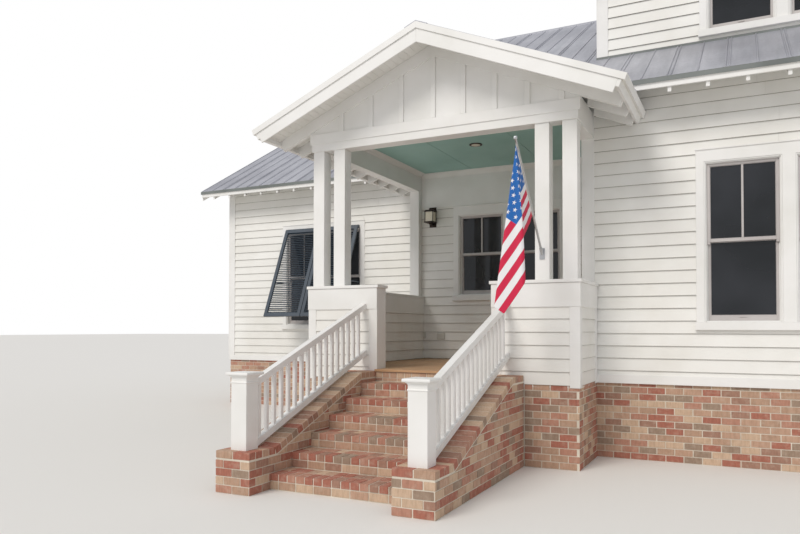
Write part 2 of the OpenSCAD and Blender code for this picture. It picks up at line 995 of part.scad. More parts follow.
// rafter tails under a front or rear eave; dir is 1 at the front and -1 at the rear
module tails(x_list, y_wall, y_edge, dir) {
  top = eave_z - roof_t;
  y0 = y_edge + dir * (edge_back + fascia_t);
  run = (y_wall - y0) * dir;
  rise0 = (edge_back + fascia_t) * main_pitch;
  for (x = x_list)
    side_profile(x - rafter_w / 2, x + rafter_w / 2, [
      [y0, top + rise0 - rafter_h],
      [y_wall, top + rise0 + run * main_pitch - rafter_h],
      [y_wall, top + rise0 + run * main_pitch],
      [y0, top + rise0]
    ]);
}

module eave_rafter_tails() {
  n = floor((block_w / 2 + gable_over - 60) / rafter_gap);
  clear_x = (porch_peak_z - eave_z + roof_t + rafter_h) / porch_pitch + rafter_w / 2;
  front_xs = [for (i = [-floor((block_mid - clear_x) / rafter_gap):n]) block_mid + i * rafter_gap];
  rear_n = floor((plan_right - plan_left - 120) / rafter_gap / 2);
  rear_xs = [for (i = [-rear_n:rear_n]) plan_mid_x + i * rafter_gap];
  wing_mid = house_left - wing_w / 2;
  wing_xs = [
    for (i = [-floor((wing_w / 2 + gable_over - 60) / rafter_gap):floor((wing_w / 2 - 720) / rafter_gap)])
      wing_mid + i * rafter_gap
  ];
  in_place()
    color(white) {
      tails(front_xs, block_y - trim_t, eave_y, 1);
      tails(rear_xs, rear_y, rear_eave_y, -1);
      tails(wing_xs, wing_y, wing_eave_y, 1);
    }
}

module fascias() {
  x_wing = -porch_span - seat;
  fascia_x = (porch_peak_z - eave_z + roof_t + fascia_h - fascia_lap) / porch_pitch + seat;
  in_place()
    color(white) {
      side_profile(fascia_x, plan_right - edge_back, fascia_outline(eave_y, 1));
      side_profile(plan_left + edge_back, plan_right - edge_back, fascia_outline(rear_eave_y, -1));
      side_profile(plan_left + edge_back, x_wing, fascia_outline(wing_eave_y, 1));
      front_eave_board(block_x - dormer_over, house_right + dormer_over);
    }
}

// board under the edge of a main eave
function fascia_outline(y, dir) = let (
  y0 = y + dir * edge_back,
  y1 = y0 + dir * fascia_t,
  foot = eave_z - roof_t - fascia_h + fascia_lap
) [
  [y0, foot],
  [y1, foot],
  [y1, eave_z - roof_t + (edge_back + fascia_t) * main_pitch],
  [y0, eave_z - roof_t + edge_back * main_pitch]
];

module front_eave_board(x0, x1) {
  y = dormer_eave_y + edge_back;
  z = dormer_top(y) - roof_t;
  side_profile(x0, x1, [
    [y, z - fascia_h],
    [y + fascia_t, z - fascia_h],
    [y + fascia_t, z + fascia_t * dormer_pitch],
    [y, z]
  ]);
}

// a board under the sloping edge of a gable end, from y0 to y1 under the line top(y)
module rake_board(x, y0, y1, top) {
  side_profile(x, x + fascia_t, [
    [y0, top(y0) - roof_t - gable_rake_h],
    [y1, top(y1) - roof_t - gable_rake_h],
    [y1, top(y1) - roof_t],
    [y0, top(y0) - roof_t]
  ]);
}

// the two boards of a gable end, which meet under the ridge
module rake_pair(x, r, front_y, top_front) {
  rake_board(x, front_y, r - seat / 2, top_front);
  rake_board(x, r + seat / 2, rear_eave_y - edge_back - fascia_t, function(y) rear_z(y));
}

module gable_rake_boards() {
  inset = edge_back + fascia_t;
  in_place()
    color(white) {
      rake_pair(plan_right - edge_back - fascia_t, ridge_y, eave_y + inset, function(y) main_z(y));
      rake_pair(plan_left + edge_back, wing_ridge_y, wing_eave_y + inset, function(y) wing_z(y));
    }
}

module ridge_caps() {
  w = ridge_cap_w;
  t = ridge_cap_t;
  in_place()
    color(grey_metal) {
      side_profile(house_left - gable_over, block_x - dormer_over - seat, ridge_outline(ridge_y, w, t));
      side_profile(plan_left, house_left - gable_over - seat, ridge_outline(wing_ridge_y, w, t));
      difference() {
        front_profile(-rake_y, back_y, [
          [-w, porch_top(w)],
          [0, porch_peak_z],
          [w, porch_top(w)],
          [w, porch_top(w) + t],
          [0, porch_peak_z + t],
          [-w, porch_top(w) + t]
        ]);
        under_main_roof(-w - 1, w + 1);
      }
    }
}

function ridge_outline(r, w, t) = let (z = rear_z(r)) [
  [r - w, z - w * main_pitch],
  [r, z],
  [r + w, z - w * main_pitch],
  [r + w, z - w * main_pitch + t],
  [r, z + t],
  [r - w, z - w * main_pitch + t]
];

// flat casing round a group of windows, on a wall that faces the front (dir -1) or the rear (dir 1)
module casing_group(windows, y, dir) {
  last = len(windows) - 1;
  x0 = windows[0][0] - windows[0][2] / 2 - casing_w;
  x1 = windows[last][0] + windows[last][2] / 2 + casing_w;
  z0 = windows[0][1];
  z1 = z0 + windows[0][3] + head_h;
  y0 = dir < 0 ? y - trim_t : y;
  difference() {
    block(x0, x1, y0, y0 + trim_t, z0, z1);
    for (w = windows)
      block(w[0] - w[2] / 2, w[0] + w[2] / 2, y0 - 1, y0 + trim_t + 1, z0 - 1, z0 + w[3]);
  }
}

// the same on an end wall; dir is the way that the wall faces along X
module end_casing(w, x, dir) {
  x0 = dir < 0 ? x - trim_t : x;
  z1 = w[1] + w[3] + head_h;
  difference() {
    block(x0, x0 + trim_t, w[0] - w[2] / 2 - casing_w, w[0] + w[2] / 2 + casing_w, w[1], z1);
    block(x0 - 1, x0 + trim_t + 1, w[0] - w[2] / 2, w[0] + w[2] / 2, w[1] - 1, w[1] + w[3]);
  }
}

module window_casings() {
  in_place()
    color(white) {
      casing_group(block_windows, block_y, -1);
      casing_group(porch_windows, back_y, -1);
      casing_group(wing_windows, wing_y, -1);
      casing_group(dormer_windows, dormer_y, -1);
      for (w = rear_windows)
        casing_group([w], rear_y, 1);
      for (w = right_end_windows)
        end_casing(w, house_right, 1);
      for (w = wing_end_windows)
        end_casing(w, wing_left, -1);
    }
}

// sill board under a group of windows
module sill_group(windows, y, dir) {
  last = len(windows) - 1;
  x0 = windows[0][0] - windows[0][2] / 2 - casing_w - 12;
  x1 = windows[last][0] + windows[last][2] / 2 + casing_w + 12;
  z1 = windows[0][1];
  y0 = dir < 0 ? y - sill_out : y;
  block(x0, x1, y0, y0 + sill_out, z1 - sill_h, z1);
}

module end_sill(w, x, dir) {
  x0 = dir < 0 ? x - sill_out : x;
  r = w[2] / 2 + casing_w + 12;
  block(x0, x0 + sill_out, w[0] - r, w[0] + r, w[1] - sill_h, w[1]);
}

module window_sills() {
  in_place()
    color(white) {
      sill_group(block_windows, block_y, -1);
      sill_group(porch_windows, back_y, -1);
      sill_group(wing_windows, wing_y, -1);
      sill_group(dormer_windows, dormer_y, -1);
      for (w = rear_windows)
        sill_group([w], rear_y, 1);
      for (w = right_end_windows)
        end_sill(w, house_right, 1);
      for (w = wing_end_windows)
        end_sill(w, wing_left, -1);
    }
}

// outline of one sash: a ring between two heights with rails of given heights
module sash(half, z0, z1, y, low_rail, top_rail) {
  difference() {
    block(-half, half, y, y + sash_t, z0, z1);
    block(-half + frame_w, half - frame_w, y - 1, y + sash_t + 1, z0 + low_rail, z1 - top_rail);
  }
}

// a double-hung window standing at the origin: width along X, outside towards -Y;
// the upper sash slides in front of the lower one inside a box of boards
module sash_frame(w, h) {
  half = w / 2 - jamb_t;
  mid = h * meeting_share;
  rail = frame_w - 10;
  back = sash_step + sash_t + 1;
  difference() {
    block(-w / 2, w / 2, 0, frame_d, 0, h);
    block(-half, half, -1, frame_d + 1, jamb_t, h - jamb_t);
  }
  sash(half, mid - rail / 2, h - jamb_t, sash_step, rail, frame_w);
  sash(half, jamb_t, mid + rail / 2, back, bottom_rail_h, rail);
}

// panes in the middle of each sash
module sash_glass(w, h) {
  half = w / 2 - jamb_t - frame_w;
  mid = h * meeting_share;
  rail = frame_w - 10;
  upper_y = sash_step + (sash_t - glass_t) / 2;
  lower_y = upper_y + sash_t + 1;
  block(-half, half, upper_y, upper_y + glass_t, mid + rail / 2, h - jamb_t - frame_w);
  block(-half, half, lower_y, lower_y + glass_t, jamb_t + bottom_rail_h, mid - rail / 2);
}

// both kinds of window piece, set out by the same list
module window_pieces(glass) {
  fronts = [[block_windows, block_y], [porch_windows, back_y], [wing_windows, wing_y], [dormer_windows, dormer_y]];
  for (f = fronts)
    for (w = f[0])
      translate([w[0], f[1] + frame_back, w[1]])
        window_piece(w, glass);
  for (w = rear_windows)
    translate([w[0], rear_y - frame_back, w[1]])
      rotate([0, 0, 180])
        window_piece(w, glass);
  for (w = right_end_windows)
    translate([house_right - frame_back, w[0], w[1]])
      rotate([0, 0, 90])
        window_piece(w, glass);
  for (w = wing_end_windows)
    translate([wing_left + frame_back, w[0], w[1]])
      rotate([0, 0, -90])
        window_piece(w, glass);
}

module window_piece(w, glass) {
  if (glass)
    sash_glass(w[2], w[3]);
  else
    sash_frame(w[2], w[3]);
}

module window_sashes() {
  in_place()
    color("#9a9085")
      window_pieces(false);
}

module window_glass() {
  in_place()
    color("#2c3438")
      window_pieces(true);
}

// strip that carries the shutters' hinges, and the stays that hold the shutters off the wall
shutter_head_h = 56;
shutter_head_d = 40;
shutter_gap = 12;
header_over = 6;
hinge_bite = 10;
shutter_rail_drop = 30;
stay_w = 16;
stay_h = 25;
stay_share = 0.62;
blade_t = 12;

// one louvred shutter hanging from its hinge line: the blades stand here as one thin panel
module shutter(w) {
  difference() {
    block(0, w, -shutter_t, 0, -shutter_l, 0);
    for (y = [-shutter_t - 1, -(shutter_t - blade_t) / 2])
      block(shutter_bar, w - shutter_bar, y, y + (shutter_t - blade_t) / 2 + 1, shutter_bar - shutter_l, -shutter_bar);
  }
}

// the wing's windows have shutters that are hinged at the head and propped out at the foot
module wing_shutters() {
  face = wing_y - trim_t;
  x0 = wing_windows[0][0] - window_w / 2 + shutter_inset;
  x1 = wing_windows[1][0] + window_w / 2 - shutter_inset;
  w = (x1 - x0 - shutter_gap) / 2;
  head_z = tall_z + window_h;
  hinge_y = face - shutter_head_d + hinge_bite;
  hinge_z = head_z + shutter_rail_drop;
  stay_z = hinge_z - stay_share * shutter_l * cos(shutter_lean);
  stay_y = hinge_y - (hinge_z - stay_z) * tan(shutter_lean);
  in_place()
    color("#30353a") {
      block(x0 - header_over, x1 + header_over, face - shutter_head_d, face, head_z, head_z + shutter_head_h);
      for (x = [x0, x1 - w]) {
        translate([x, hinge_y, hinge_z])
          rotate([-shutter_lean, 0, 0])
            shutter(w);
        for (s = [x + 4, x + w - stay_w - 4])
          block(s, s + stay_w, stay_y - shutter_t / 2, face, stay_z, stay_z + stay_h);
      }
    }
}

// boarded door with a glazed light over two tall panels, and its knob
module front_door() {
  x = block_x + 40;
  y0 = door_y - door_w / 2;
  y1 = door_y + door_w / 2;
  light_h = 500;
  panel_y = (door_w - 3 * door_stile) / 2;
  panel_top = floor_z + door_h - 2 * door_stile - light_h;
  recess = 12;
  in_place()
    color("#4a3226") {
      difference() {
        block(x, x + door_t, y0, y1, floor_z, floor_z + door_h);
        for (i = [0, 1], face = [x - 1, x + door_t - recess])
          block(face, face + recess + 1, y0 + door_stile + i * (panel_y + door_stile),
            y0 + (i + 1) * (panel_y + door_stile), floor_z + 2 * door_stile, panel_top);
        for (face = [x - 1, x + door_t - recess])
          block(face, face + recess + 1, y0 + door_stile, y1 - door_stile,
            panel_top + door_stile, floor_z + door_h - door_stile);
      }
      translate([x, y1 - 70, floor_z + 950])
        rotate([0, -90, 0])
          rotate_extrude()
            polygon([[0, 0], [30, 0], [30, 8], [11, 14], [11, 34], [28, 42], [28, 58], [18, 66], [0, 66]]);
    }
}

// each step is a block of masonry from the ground to its tread
module brick_steps() {
  x = steps_half - seat;
  in_place()
    color(brick)
      for (i = [1:riser_count - 1]) {
        y0 = -step_nose - i * tread_run;
        y1 = i == 1 ? -step_nose + floor_nose - seat : y0 + tread_run - seat;
        block(-x, x, y0, y1, 0, floor_z - i * riser_h);
      }
}

// pier in front, then a slope up to the porch
module cheek_walls() {
  y_top = cheek_foot_y + (floor_z - cheek_drop - pier_h) / rail_slope;
  in_place()
    color(brick)
      both_sides()
        side_profile(steps_half, steps_half + cheek_w, [
          [-pier_front, 0],
          [-seat, 0],
          [-seat, cheek_z(0)],
          [y_top, cheek_z(0)],
          [cheek_foot_y, pier_h],
          [-pier_front, pier_h]
        ]);
}

// half widths and heights below the top of the mouldings round a newel's cap
newel_mouldings = [
  [newel_w / 2, -118], [newel_w / 2 + 6, -114], [newel_w / 2 + 6, -104], [newel_w / 2, -100],
  [newel_w / 2, -64], [newel_w / 2 + 6, -54], [newel_w / 2 + 16, -44], [newel_w / 2 + 30, -38],
  [newel_w / 2 + 41, -34], [newel_w / 2 + 41, -14], [newel_w / 2 + 35, -8], [12, 0]
];

// square post; each step of the mouldings is a square drawn up to the size of the next one
module newel() {
  z1 = pier_h + newel_h;
  shaft_top = z1 + newel_mouldings[0][1];
  translate([0, newel_y + newel_w / 2, 0]) {
    block(-newel_w / 2, newel_w / 2, -newel_w / 2, newel_w / 2, pier_h, shaft_top);
    for (i = [0:len(newel_mouldings) - 2]) {
      here = newel_mouldings[i];
      next = newel_mouldings[i + 1];
      translate([0, 0, z1 + here[1]])
        linear_extrude(next[1] - here[1], scale = next[0] / here[0])
          square(2 * here[0], center = true);
    }
  }
}

module newels() {
  in_place()
    color(white)
      both_sides()
        translate([cheek_mid, 0, 0])
          newel();
}

// a sloping rail whose top edge lies h above the line of the cheek wall
module sloping_rail(y0, y1, h, t) {
  side_profile(-rail_w / 2, rail_w / 2, [
    [y0, rail_line(y0) + h - t],
    [y1, rail_line(y1) + h - t],
    [y1, rail_line(y1) + h],
    [y0, rail_line(y0) + h]
  ]);
}

// line of the cheek wall's slope, carried on to both ends
function rail_line(y) = pier_h + (y - cheek_foot_y) * rail_slope;

module railing() {
  y0 = newel_y + newel_w;
  y1 = -cap_over - seat;
  pitch = (y1 - y0) / (baluster_count + 1);
  low = rail_clear + rail_t;
  sloping_rail(y0, -seat, rail_h, rail_t);
  sloping_rail(y0, -seat, low, rail_t);
  for (i = [1:baluster_count]) {
    y = y0 + i * pitch - baluster_w / 2;
    y2 = y + baluster_w;
    side_profile(-baluster_w / 2, baluster_w / 2, [
      [y, rail_line(y) + low - 20],
      [y2, rail_line(y2) + low - 20],
      [y2, rail_line(y2) + rail_h - rail_t + 20],
      [y, rail_line(y) + rail_h - rail_t + 20]
    ]);
  }
}

module left_railing() {
  in_place()
    color(white)
      translate([-cheek_mid, 0, 0])
        railing();
}

module right_railing() {
  in_place()
    color(white)
      translate([cheek_mid, 0, 0])
        railing();
}

// the pole stands out of a bracket on the right inner column
module along_pole() {
  translate([flag_x, column_y, floor_z + pole_z])
    rotate([90 - pole_angle, 0, 0])
      children();
}

module flagpole() {
  in_place()
    color("#b9bcbe") {
      block(flag_x - 30, flag_x + 30, column_y - 8, column_y, floor_z + pole_z - 60, floor_z + pole_z + 70);
      along_pole() {
        cylinder(d = pole_d + 12, h = 90);
        cylinder(d = pole_d, h = pole_l);
        translate([0, 0, pole_l])
          sphere(d = pole_d + 20);
      }
    }
}

// cloth tied to the pole along its hoist; the fly hangs below the pole's tip in a narrow fold
module flag() {
  t = 60;
  fold = 300;
  c = cos(pole_angle);
  s = sin(pole_angle);
  tip = pole_l - 40;
  top_y = column_y - tip * c;
  top_z = floor_z + pole_z + tip * s;
  drop = (pole_d / 2 + 0.3) / c;
  low_y = column_y - (tip - flag_hoist) * c;
  low_z = floor_z + pole_z + (tip - flag_hoist) * s;
  corner_drop = norm([flag_hoist, flag_fly]);
  in_place()
    color("#8c3040")
      side_profile(flag_x - t / 2, flag_x + t / 2, [
        [top_y - fold / 4, top_z - drop - corner_drop + fold],
        [top_y, top_z - drop - corner_drop],
        [top_y + fold, top_z - drop - flag_fly],
        [low_y, low_z - drop - fold],
        [low_y, low_z - drop],
        [top_y, top_z - drop]
      ]);
}

// wall lantern: a tall back plate that carries a glass box between its cap and base
module wall_lantern() {
  x = lantern_x;
  z = lantern_z;
  y = back_y - lantern_out;
  in_place()
    color("#2f2b27") {
      block(x - 65, x + 65, back_y - 20, back_y, z, z + lantern_h);
      block(x - 78, x + 78, y, y + 156, z + 85, z + 262);
      translate([x, y + 78, z + 262])
        linear_extrude(26, scale = 0.63)
          square(190, center = true);
      block(x - 85, x + 85, y - 8, y + 164, z + 65, z + 85);
      block(x - 25, x + 25, y + 60, back_y - 20, z + 288, z + 318);
      block(x - 25, x + 25, y + 60, back_y - 20, z + 35, z + 65);
    }
}

module ceiling_light() {
  in_place()
    color("#e8e6df")
      translate([light_x, light_y, ceiling_z - 14])
        cylinder(d = 190, h = 14);
}

foundation();
house_floor();
upper_floor();
porch_floor();
right_front_wall();
porch_back_wall();
porch_side_wall();
wing_front_wall();
wing_end_wall();
right_end_wall();
rear_wall();
left_gable_wall();
dormer_front_wall();
dormer_side_walls();
skirt_boards();
corner_boards();
pedestals();
knee_walls();
pedestal_caps();
columns();
pilaster();
front_beam();
side_beams();
porch_ceiling();
porch_gable_wall();
gable_battens();
porch_roof();
porch_rake_boards();
porch_rafter_tails();
porch_eave_boards();
main_roof_front();
main_roof_upper();
main_roof_rear();
wing_roof();
dormer_roof();
eave_rafter_tails();
fascias();
gable_rake_boards();
ridge_caps();
window_casings();
window_sills();
window_sashes();
window_glass();
wing_shutters();
front_door();
brick_steps();
cheek_walls();
newels();
left_railing();
right_railing();
flagpole();
flag();
wall_lantern();
ceiling_light();
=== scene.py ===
import math
import random

import bmesh
import bpy
from mathutils import Matrix, Vector


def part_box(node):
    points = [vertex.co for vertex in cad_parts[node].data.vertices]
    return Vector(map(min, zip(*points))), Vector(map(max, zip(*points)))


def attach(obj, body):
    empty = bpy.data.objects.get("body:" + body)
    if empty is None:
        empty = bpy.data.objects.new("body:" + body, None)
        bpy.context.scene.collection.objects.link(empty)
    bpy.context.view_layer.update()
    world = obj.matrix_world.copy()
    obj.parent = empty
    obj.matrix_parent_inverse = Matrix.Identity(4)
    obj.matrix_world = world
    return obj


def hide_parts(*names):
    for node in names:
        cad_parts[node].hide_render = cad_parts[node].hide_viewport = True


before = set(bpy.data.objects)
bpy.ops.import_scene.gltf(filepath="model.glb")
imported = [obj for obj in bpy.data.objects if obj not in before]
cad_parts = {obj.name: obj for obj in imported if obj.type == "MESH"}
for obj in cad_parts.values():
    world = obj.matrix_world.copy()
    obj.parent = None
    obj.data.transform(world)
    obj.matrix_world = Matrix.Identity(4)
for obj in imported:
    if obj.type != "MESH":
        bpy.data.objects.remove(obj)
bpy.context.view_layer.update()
print("frame loaded")

mm = 0.001


def addObject(name, data):
    made = bpy.data.objects.new(name, data)
    bpy.context.scene.collection.objects.link(made)
    return made


# Places

def low(node):
    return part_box(node)[0]


def high(node):
    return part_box(node)[1]


# the house is set out from the porch: its middle, the pedestal faces and the porch floor
porchMid = (low("pedestals").x + high("pedestals").x) / 2
faceY = low("pedestals").y
floorZ = high("porch_floor").z


def at(x, y, z):
    # millimetres from the porch's middle, the pedestal faces and the floor
    return Vector((porchMid + x * mm, faceY + y * mm, floorZ + z * mm))


def xOf(value):
    return (value - porchMid) / mm


def yOf(value):
    return (value - faceY) / mm


def zOf(value):
    return (value - floorZ) / mm


house = {
    "left": xOf(low("left_gable_wall").x),
    "right": xOf(high("right_end_wall").x),
    "wingLeft": xOf(low("wing_end_wall").x),
    "blockX": xOf(low("right_front_wall").x),
    "blockY": yOf(low("right_front_wall").y),
    "backY": yOf(low("porch_back_wall").y),
    "wingY": yOf(low("wing_front_wall").y),
    "rearY": yOf(high("rear_wall").y),
    "dormerY": yOf(low("dormer_front_wall").y),
    "ground": zOf(0),
    "footing": zOf(high("foundation").z),
    "skirtTop": zOf(high("skirt_boards").z),
    "ceiling": zOf(low("porch_ceiling").z),
    "peak": zOf(high("porch_gable_wall").z),
    "pilaster": xOf(high("pilaster").x),
    "kneeInner": xOf(low("porch_floor").x),
    "pedestalOuter": xOf(high("pedestals").x),
    "pedestalBack": yOf(high("pedestals").y),
}


# Camera

view = {
    "place": (3638.45 * mm, -12211.08 * mm, 1605.84 * mm),
    "yaw": 26.282,
    "pitch": 1.157,
    "roll": 0.065,
    "focalPixels": 700.23,
    "imageWidth": 800,
    "imageHeight": 534,
    "middleRow": 314.34,
    "sensor": 36.0,
}


def addCamera():
    yaw = math.radians(view["yaw"])
    pitch = math.radians(view["pitch"])
    roll = math.radians(view["roll"])
    ahead = Vector((-math.sin(yaw) * math.cos(pitch), math.cos(yaw) * math.cos(pitch), math.sin(pitch)))
    levelRight = Vector((math.cos(yaw), math.sin(yaw), 0))
    levelUp = levelRight.cross(ahead)
    right = levelRight * math.cos(roll) + levelUp * math.sin(roll)
    up = levelUp * math.cos(roll) - levelRight * math.sin(roll)
    data = bpy.data.cameras.new("photoCamera")
    data.sensor_width = view["sensor"]
    data.lens = view["sensor"] * view["focalPixels"] / view["imageWidth"]
    data.shift_y = (view["middleRow"] - view["imageHeight"] / 2) / view["imageWidth"]
    data.clip_end = 200
    camera = addObject("photoCamera", data)
    turn = Matrix((right, up, -ahead)).transposed().to_4x4()
    camera.matrix_world = Matrix.Translation(view["place"]) @ turn
    bpy.context.scene.camera = camera


addCamera()


# Material helpers

def colour(text):
    # sRGB hex to linear
    parts = [int(text[i:i + 2], 16) / 255 for i in (1, 3, 5)]
    linear = [c / 12.92 if c <= 0.04045 else ((c + 0.055) / 1.055) ** 2.4 for c in parts]
    return (*linear, 1.0)


def every(*sizes):
    # the scale of a pattern that comes round once in so many millimetres, one way or three ways
    scales = [1 / (size * mm) for size in sizes]
    return scales if len(scales) > 1 else scales[0]


def feed(tree, node, values):
    # gives each input another node's first live output, a socket or a plain value
    for key, value in values.items():
        if isinstance(value, bpy.types.Node):
            value = next(socket for socket in value.outputs if socket.enabled)
        if isinstance(value, bpy.types.NodeSocket):
            tree.links.new(value, node.inputs[key])
        else:
            node.inputs[key].default_value = value


# what an input gets where a node is added without it
usual = {"ShaderNodeTexNoise": {"Detail": 4.0, "Roughness": 0.55}}


def addNode(tree, kind, values=None, stops=(), **settings):
    # stops are the places and colours of a ramp
    node = tree.nodes.new(kind)
    for key, value in settings.items():
        setattr(node, key, value)
    if stops:
        elements = node.color_ramp.elements
        while len(elements) < len(stops):
            elements.new(0.5)
        for element, (place, text) in zip(elements, stops):
            element.position = place
            element.color = colour(text)
    feed(tree, node, {**usual.get(kind, {}), **(values or {})})
    return node


def newMaterial(name, values):
    material = bpy.data.materials.new(name)
    material.use_nodes = True
    tree = material.node_tree
    shader = tree.nodes["Principled BSDF"]
    feed(tree, shader, values)
    return material, tree, shader


# Materials

def housePaint(name, base, shade, rough, boards=False):
    # acrylic house paint, brushed on: soft sheen, faint brush ripple, light weathering in large blotches
    material, tree, shader = newMaterial(name, {"Roughness": rough})
    place = addNode(tree, "ShaderNodeTexCoord").outputs["Object"]
    weather = addNode(tree, "ShaderNodeTexNoise", {"Vector": place, "Scale": every(714.3), "Detail": 3.0})
    paint = addNode(tree, "ShaderNodeValToRGB", {"Fac": weather}, ((0.32, shade), (0.62, base)))
    if boards:
        # each board carries a tone from 0 to 1
        tone = addNode(tree, "ShaderNodeAttribute", attribute_name="tone").outputs["Fac"]
        spread = addNode(tree, "ShaderNodeMath", {0: tone, 1: 0.35}, operation="MULTIPLY")
        paint = addNode(tree, "ShaderNodeMix", {0: spread, 6: paint, 7: colour(shade)}, data_type="RGBA")
    # ripple about 8 mm across, as a brush leaves it
    film = addNode(tree, "ShaderNodeTexNoise", {"Vector": place, "Scale": every(8.333), "Detail": 3.0})
    ripple = addNode(tree, "ShaderNodeBump", {"Height": film, "Distance": 0.4 * mm, "Strength": 0.5})
    feed(tree, shader, {"Base Color": paint, "Normal": ripple})
    return material


def galvanised():
    # hot-dip galvanised sheet, weathered: dull grey with a faint spangle and pale runs down the slope
    material, tree, shader = newMaterial("galvanised_sheet", {"Metallic": 0.4})
    place = addNode(tree, "ShaderNodeTexCoord").outputs["Object"]
    slope = addNode(tree, "ShaderNodeMapping", {"Vector": place, "Scale": every(111.1, 1250, 1250)})
    runs = addNode(tree, "ShaderNodeTexNoise", {"Vector": slope, "Scale": 1.0, "Detail": 5.0})
    base = addNode(tree, "ShaderNodeValToRGB", {"Fac": runs}, ((0.3, "#b9bbc3"), (0.7, "#d0d1d8")))
    blotch = addNode(tree, "ShaderNodeTexNoise", {"Vector": place, "Scale": every(1111.1)})
    aged = addNode(tree, "ShaderNodeValToRGB", {"Fac": blotch}, ((0.35, "#c9c8cc"), (0.75, "#ffffff")))
    # spangle in flakes 18 mm across
    spangle = addNode(tree, "ShaderNodeTexVoronoi", {"Vector": place, "Scale": every(18.182)})
    flakes = addNode(tree, "ShaderNodeValToRGB", {"Fac": spangle.outputs["Color"]},
                     ((0.0, "#d9dadd"), (1.0, "#ffffff")))
    for share, layer in ((0.6, aged), (0.5, flakes)):
        base = addNode(tree, "ShaderNodeMix", {0: share, 6: base, 7: layer},
                       data_type="RGBA", blend_type="MULTIPLY")
    gloss = addNode(tree, "ShaderNodeMapRange", {"Value": blotch, "To Min": 0.36, "To Max": 0.56})
    # oil-canning, in waves 70 mm across
    waves = addNode(tree, "ShaderNodeTexNoise", {"Vector": place, "Scale": every(71.43), "Detail": 2.0})
    dents = addNode(tree, "ShaderNodeBump", {"Height": waves, "Distance": 0.8 * mm, "Strength": 0.5})
    feed(tree, shader, {"Base Color": base, "Roughness": gloss, "Normal": dents})
    return material


def brickClay():
    # sand-moulded clay brick in mixed reds, tans and browns, with a gritty face
    material, tree, shader = newMaterial("sand_moulded_brick", {"Roughness": 0.88})
    place = addNode(tree, "ShaderNodeTexCoord").outputs["Object"]
    # each brick carries a tone from 0 to 1, which picks its kind
    tone = addNode(tree, "ShaderNodeAttribute", attribute_name="tone").outputs["Fac"]
    kinds = addNode(tree, "ShaderNodeValToRGB", {"Fac": tone}, (
        (0.0, "#b07260"), (0.18, "#bd8c78"), (0.32, "#a98371"), (0.44, "#c4a18a"), (0.58, "#d2b69c"),
        (0.74, "#bc9b84"), (0.87, "#a38d7b"), (1.0, "#877a6f")))
    kinds.color_ramp.interpolation = "CONSTANT"
    # upright drag marks 17 mm apart
    upright = addNode(tree, "ShaderNodeMapping", {"Vector": place, "Scale": every(16.667, 16.667, 90.91)})
    smoke = addNode(tree, "ShaderNodeTexNoise", {"Vector": upright, "Scale": 1.0})
    smoked = addNode(tree, "ShaderNodeValToRGB", {"Fac": smoke}, ((0.3, "#c3bbb2"), (0.6, "#ffffff")))
    # mortar wiped over the faces in patches about 60 mm across
    smear = addNode(tree, "ShaderNodeTexNoise", {"Vector": place, "Scale": every(62.5)})
    wiped = addNode(tree, "ShaderNodeValToRGB", {"Fac": smear}, ((0.5, "#000000"), (0.72, "#8a8a8a")))
    # sand grains, drawn at 2.4 mm so that they show
    grit = addNode(tree, "ShaderNodeTexNoise", {"Vector": place, "Scale": every(2.381), "Detail": 3.0})
    sand = addNode(tree, "ShaderNodeValToRGB", {"Fac": grit}, ((0.35, "#cdbfb4"), (0.65, "#ffffff")))
    clay = kinds
    for share, layer, blend in ((0.45, smoked, "MULTIPLY"), (wiped, colour("#dccdbb"), "MIX"),
                                (0.3, sand, "MULTIPLY")):
        clay = addNode(tree, "ShaderNodeMix", {0: share, 6: clay, 7: layer},
                       data_type="RGBA", blend_type=blend)
    hollows = addNode(tree, "ShaderNodeTexNoise", {"Vector": place, "Scale": every(11.111)})
    pits = addNode(tree, "ShaderNodeMix", {0: 0.4, 6: grit, 7: hollows}, data_type="RGBA")
    rough = addNode(tree, "ShaderNodeBump", {"Height": pits, "Distance": 1.6 * mm, "Strength": 0.7})
    feed(tree, shader, {"Base Color": clay, "Normal": rough})
    return material


def mottled(name, values, sizes, noise, stops, relief, finer=None):
    # a finish whose two colours drift into each other. sizes are the drift's, in millimetres each way;
    # relief is (depth in millimetres, strength), on the drift itself or on a finer grain as (size, detail)
    material, tree, shader = newMaterial(name, values)
    place = addNode(tree, "ShaderNodeTexCoord").outputs["Object"]
    spot = addNode(tree, "ShaderNodeMapping", {"Vector": place, "Scale": every(*sizes)})
    drift = addNode(tree, "ShaderNodeTexNoise", {"Vector": spot, "Scale": 1.0, **noise})
    base = addNode(tree, "ShaderNodeValToRGB", {"Fac": drift}, stops)
    height = drift
    if finer:
        size, detail = finer
        height = addNode(tree, "ShaderNodeTexNoise",
                         {"Vector": place, "Scale": every(size), "Detail": detail})
    depth, strength = relief
    bumps = addNode(tree, "ShaderNodeBump", {"Height": height, "Distance": depth * mm, "Strength": strength})
    feed(tree, shader, {"Base Color": base, "Normal": bumps})
    return material


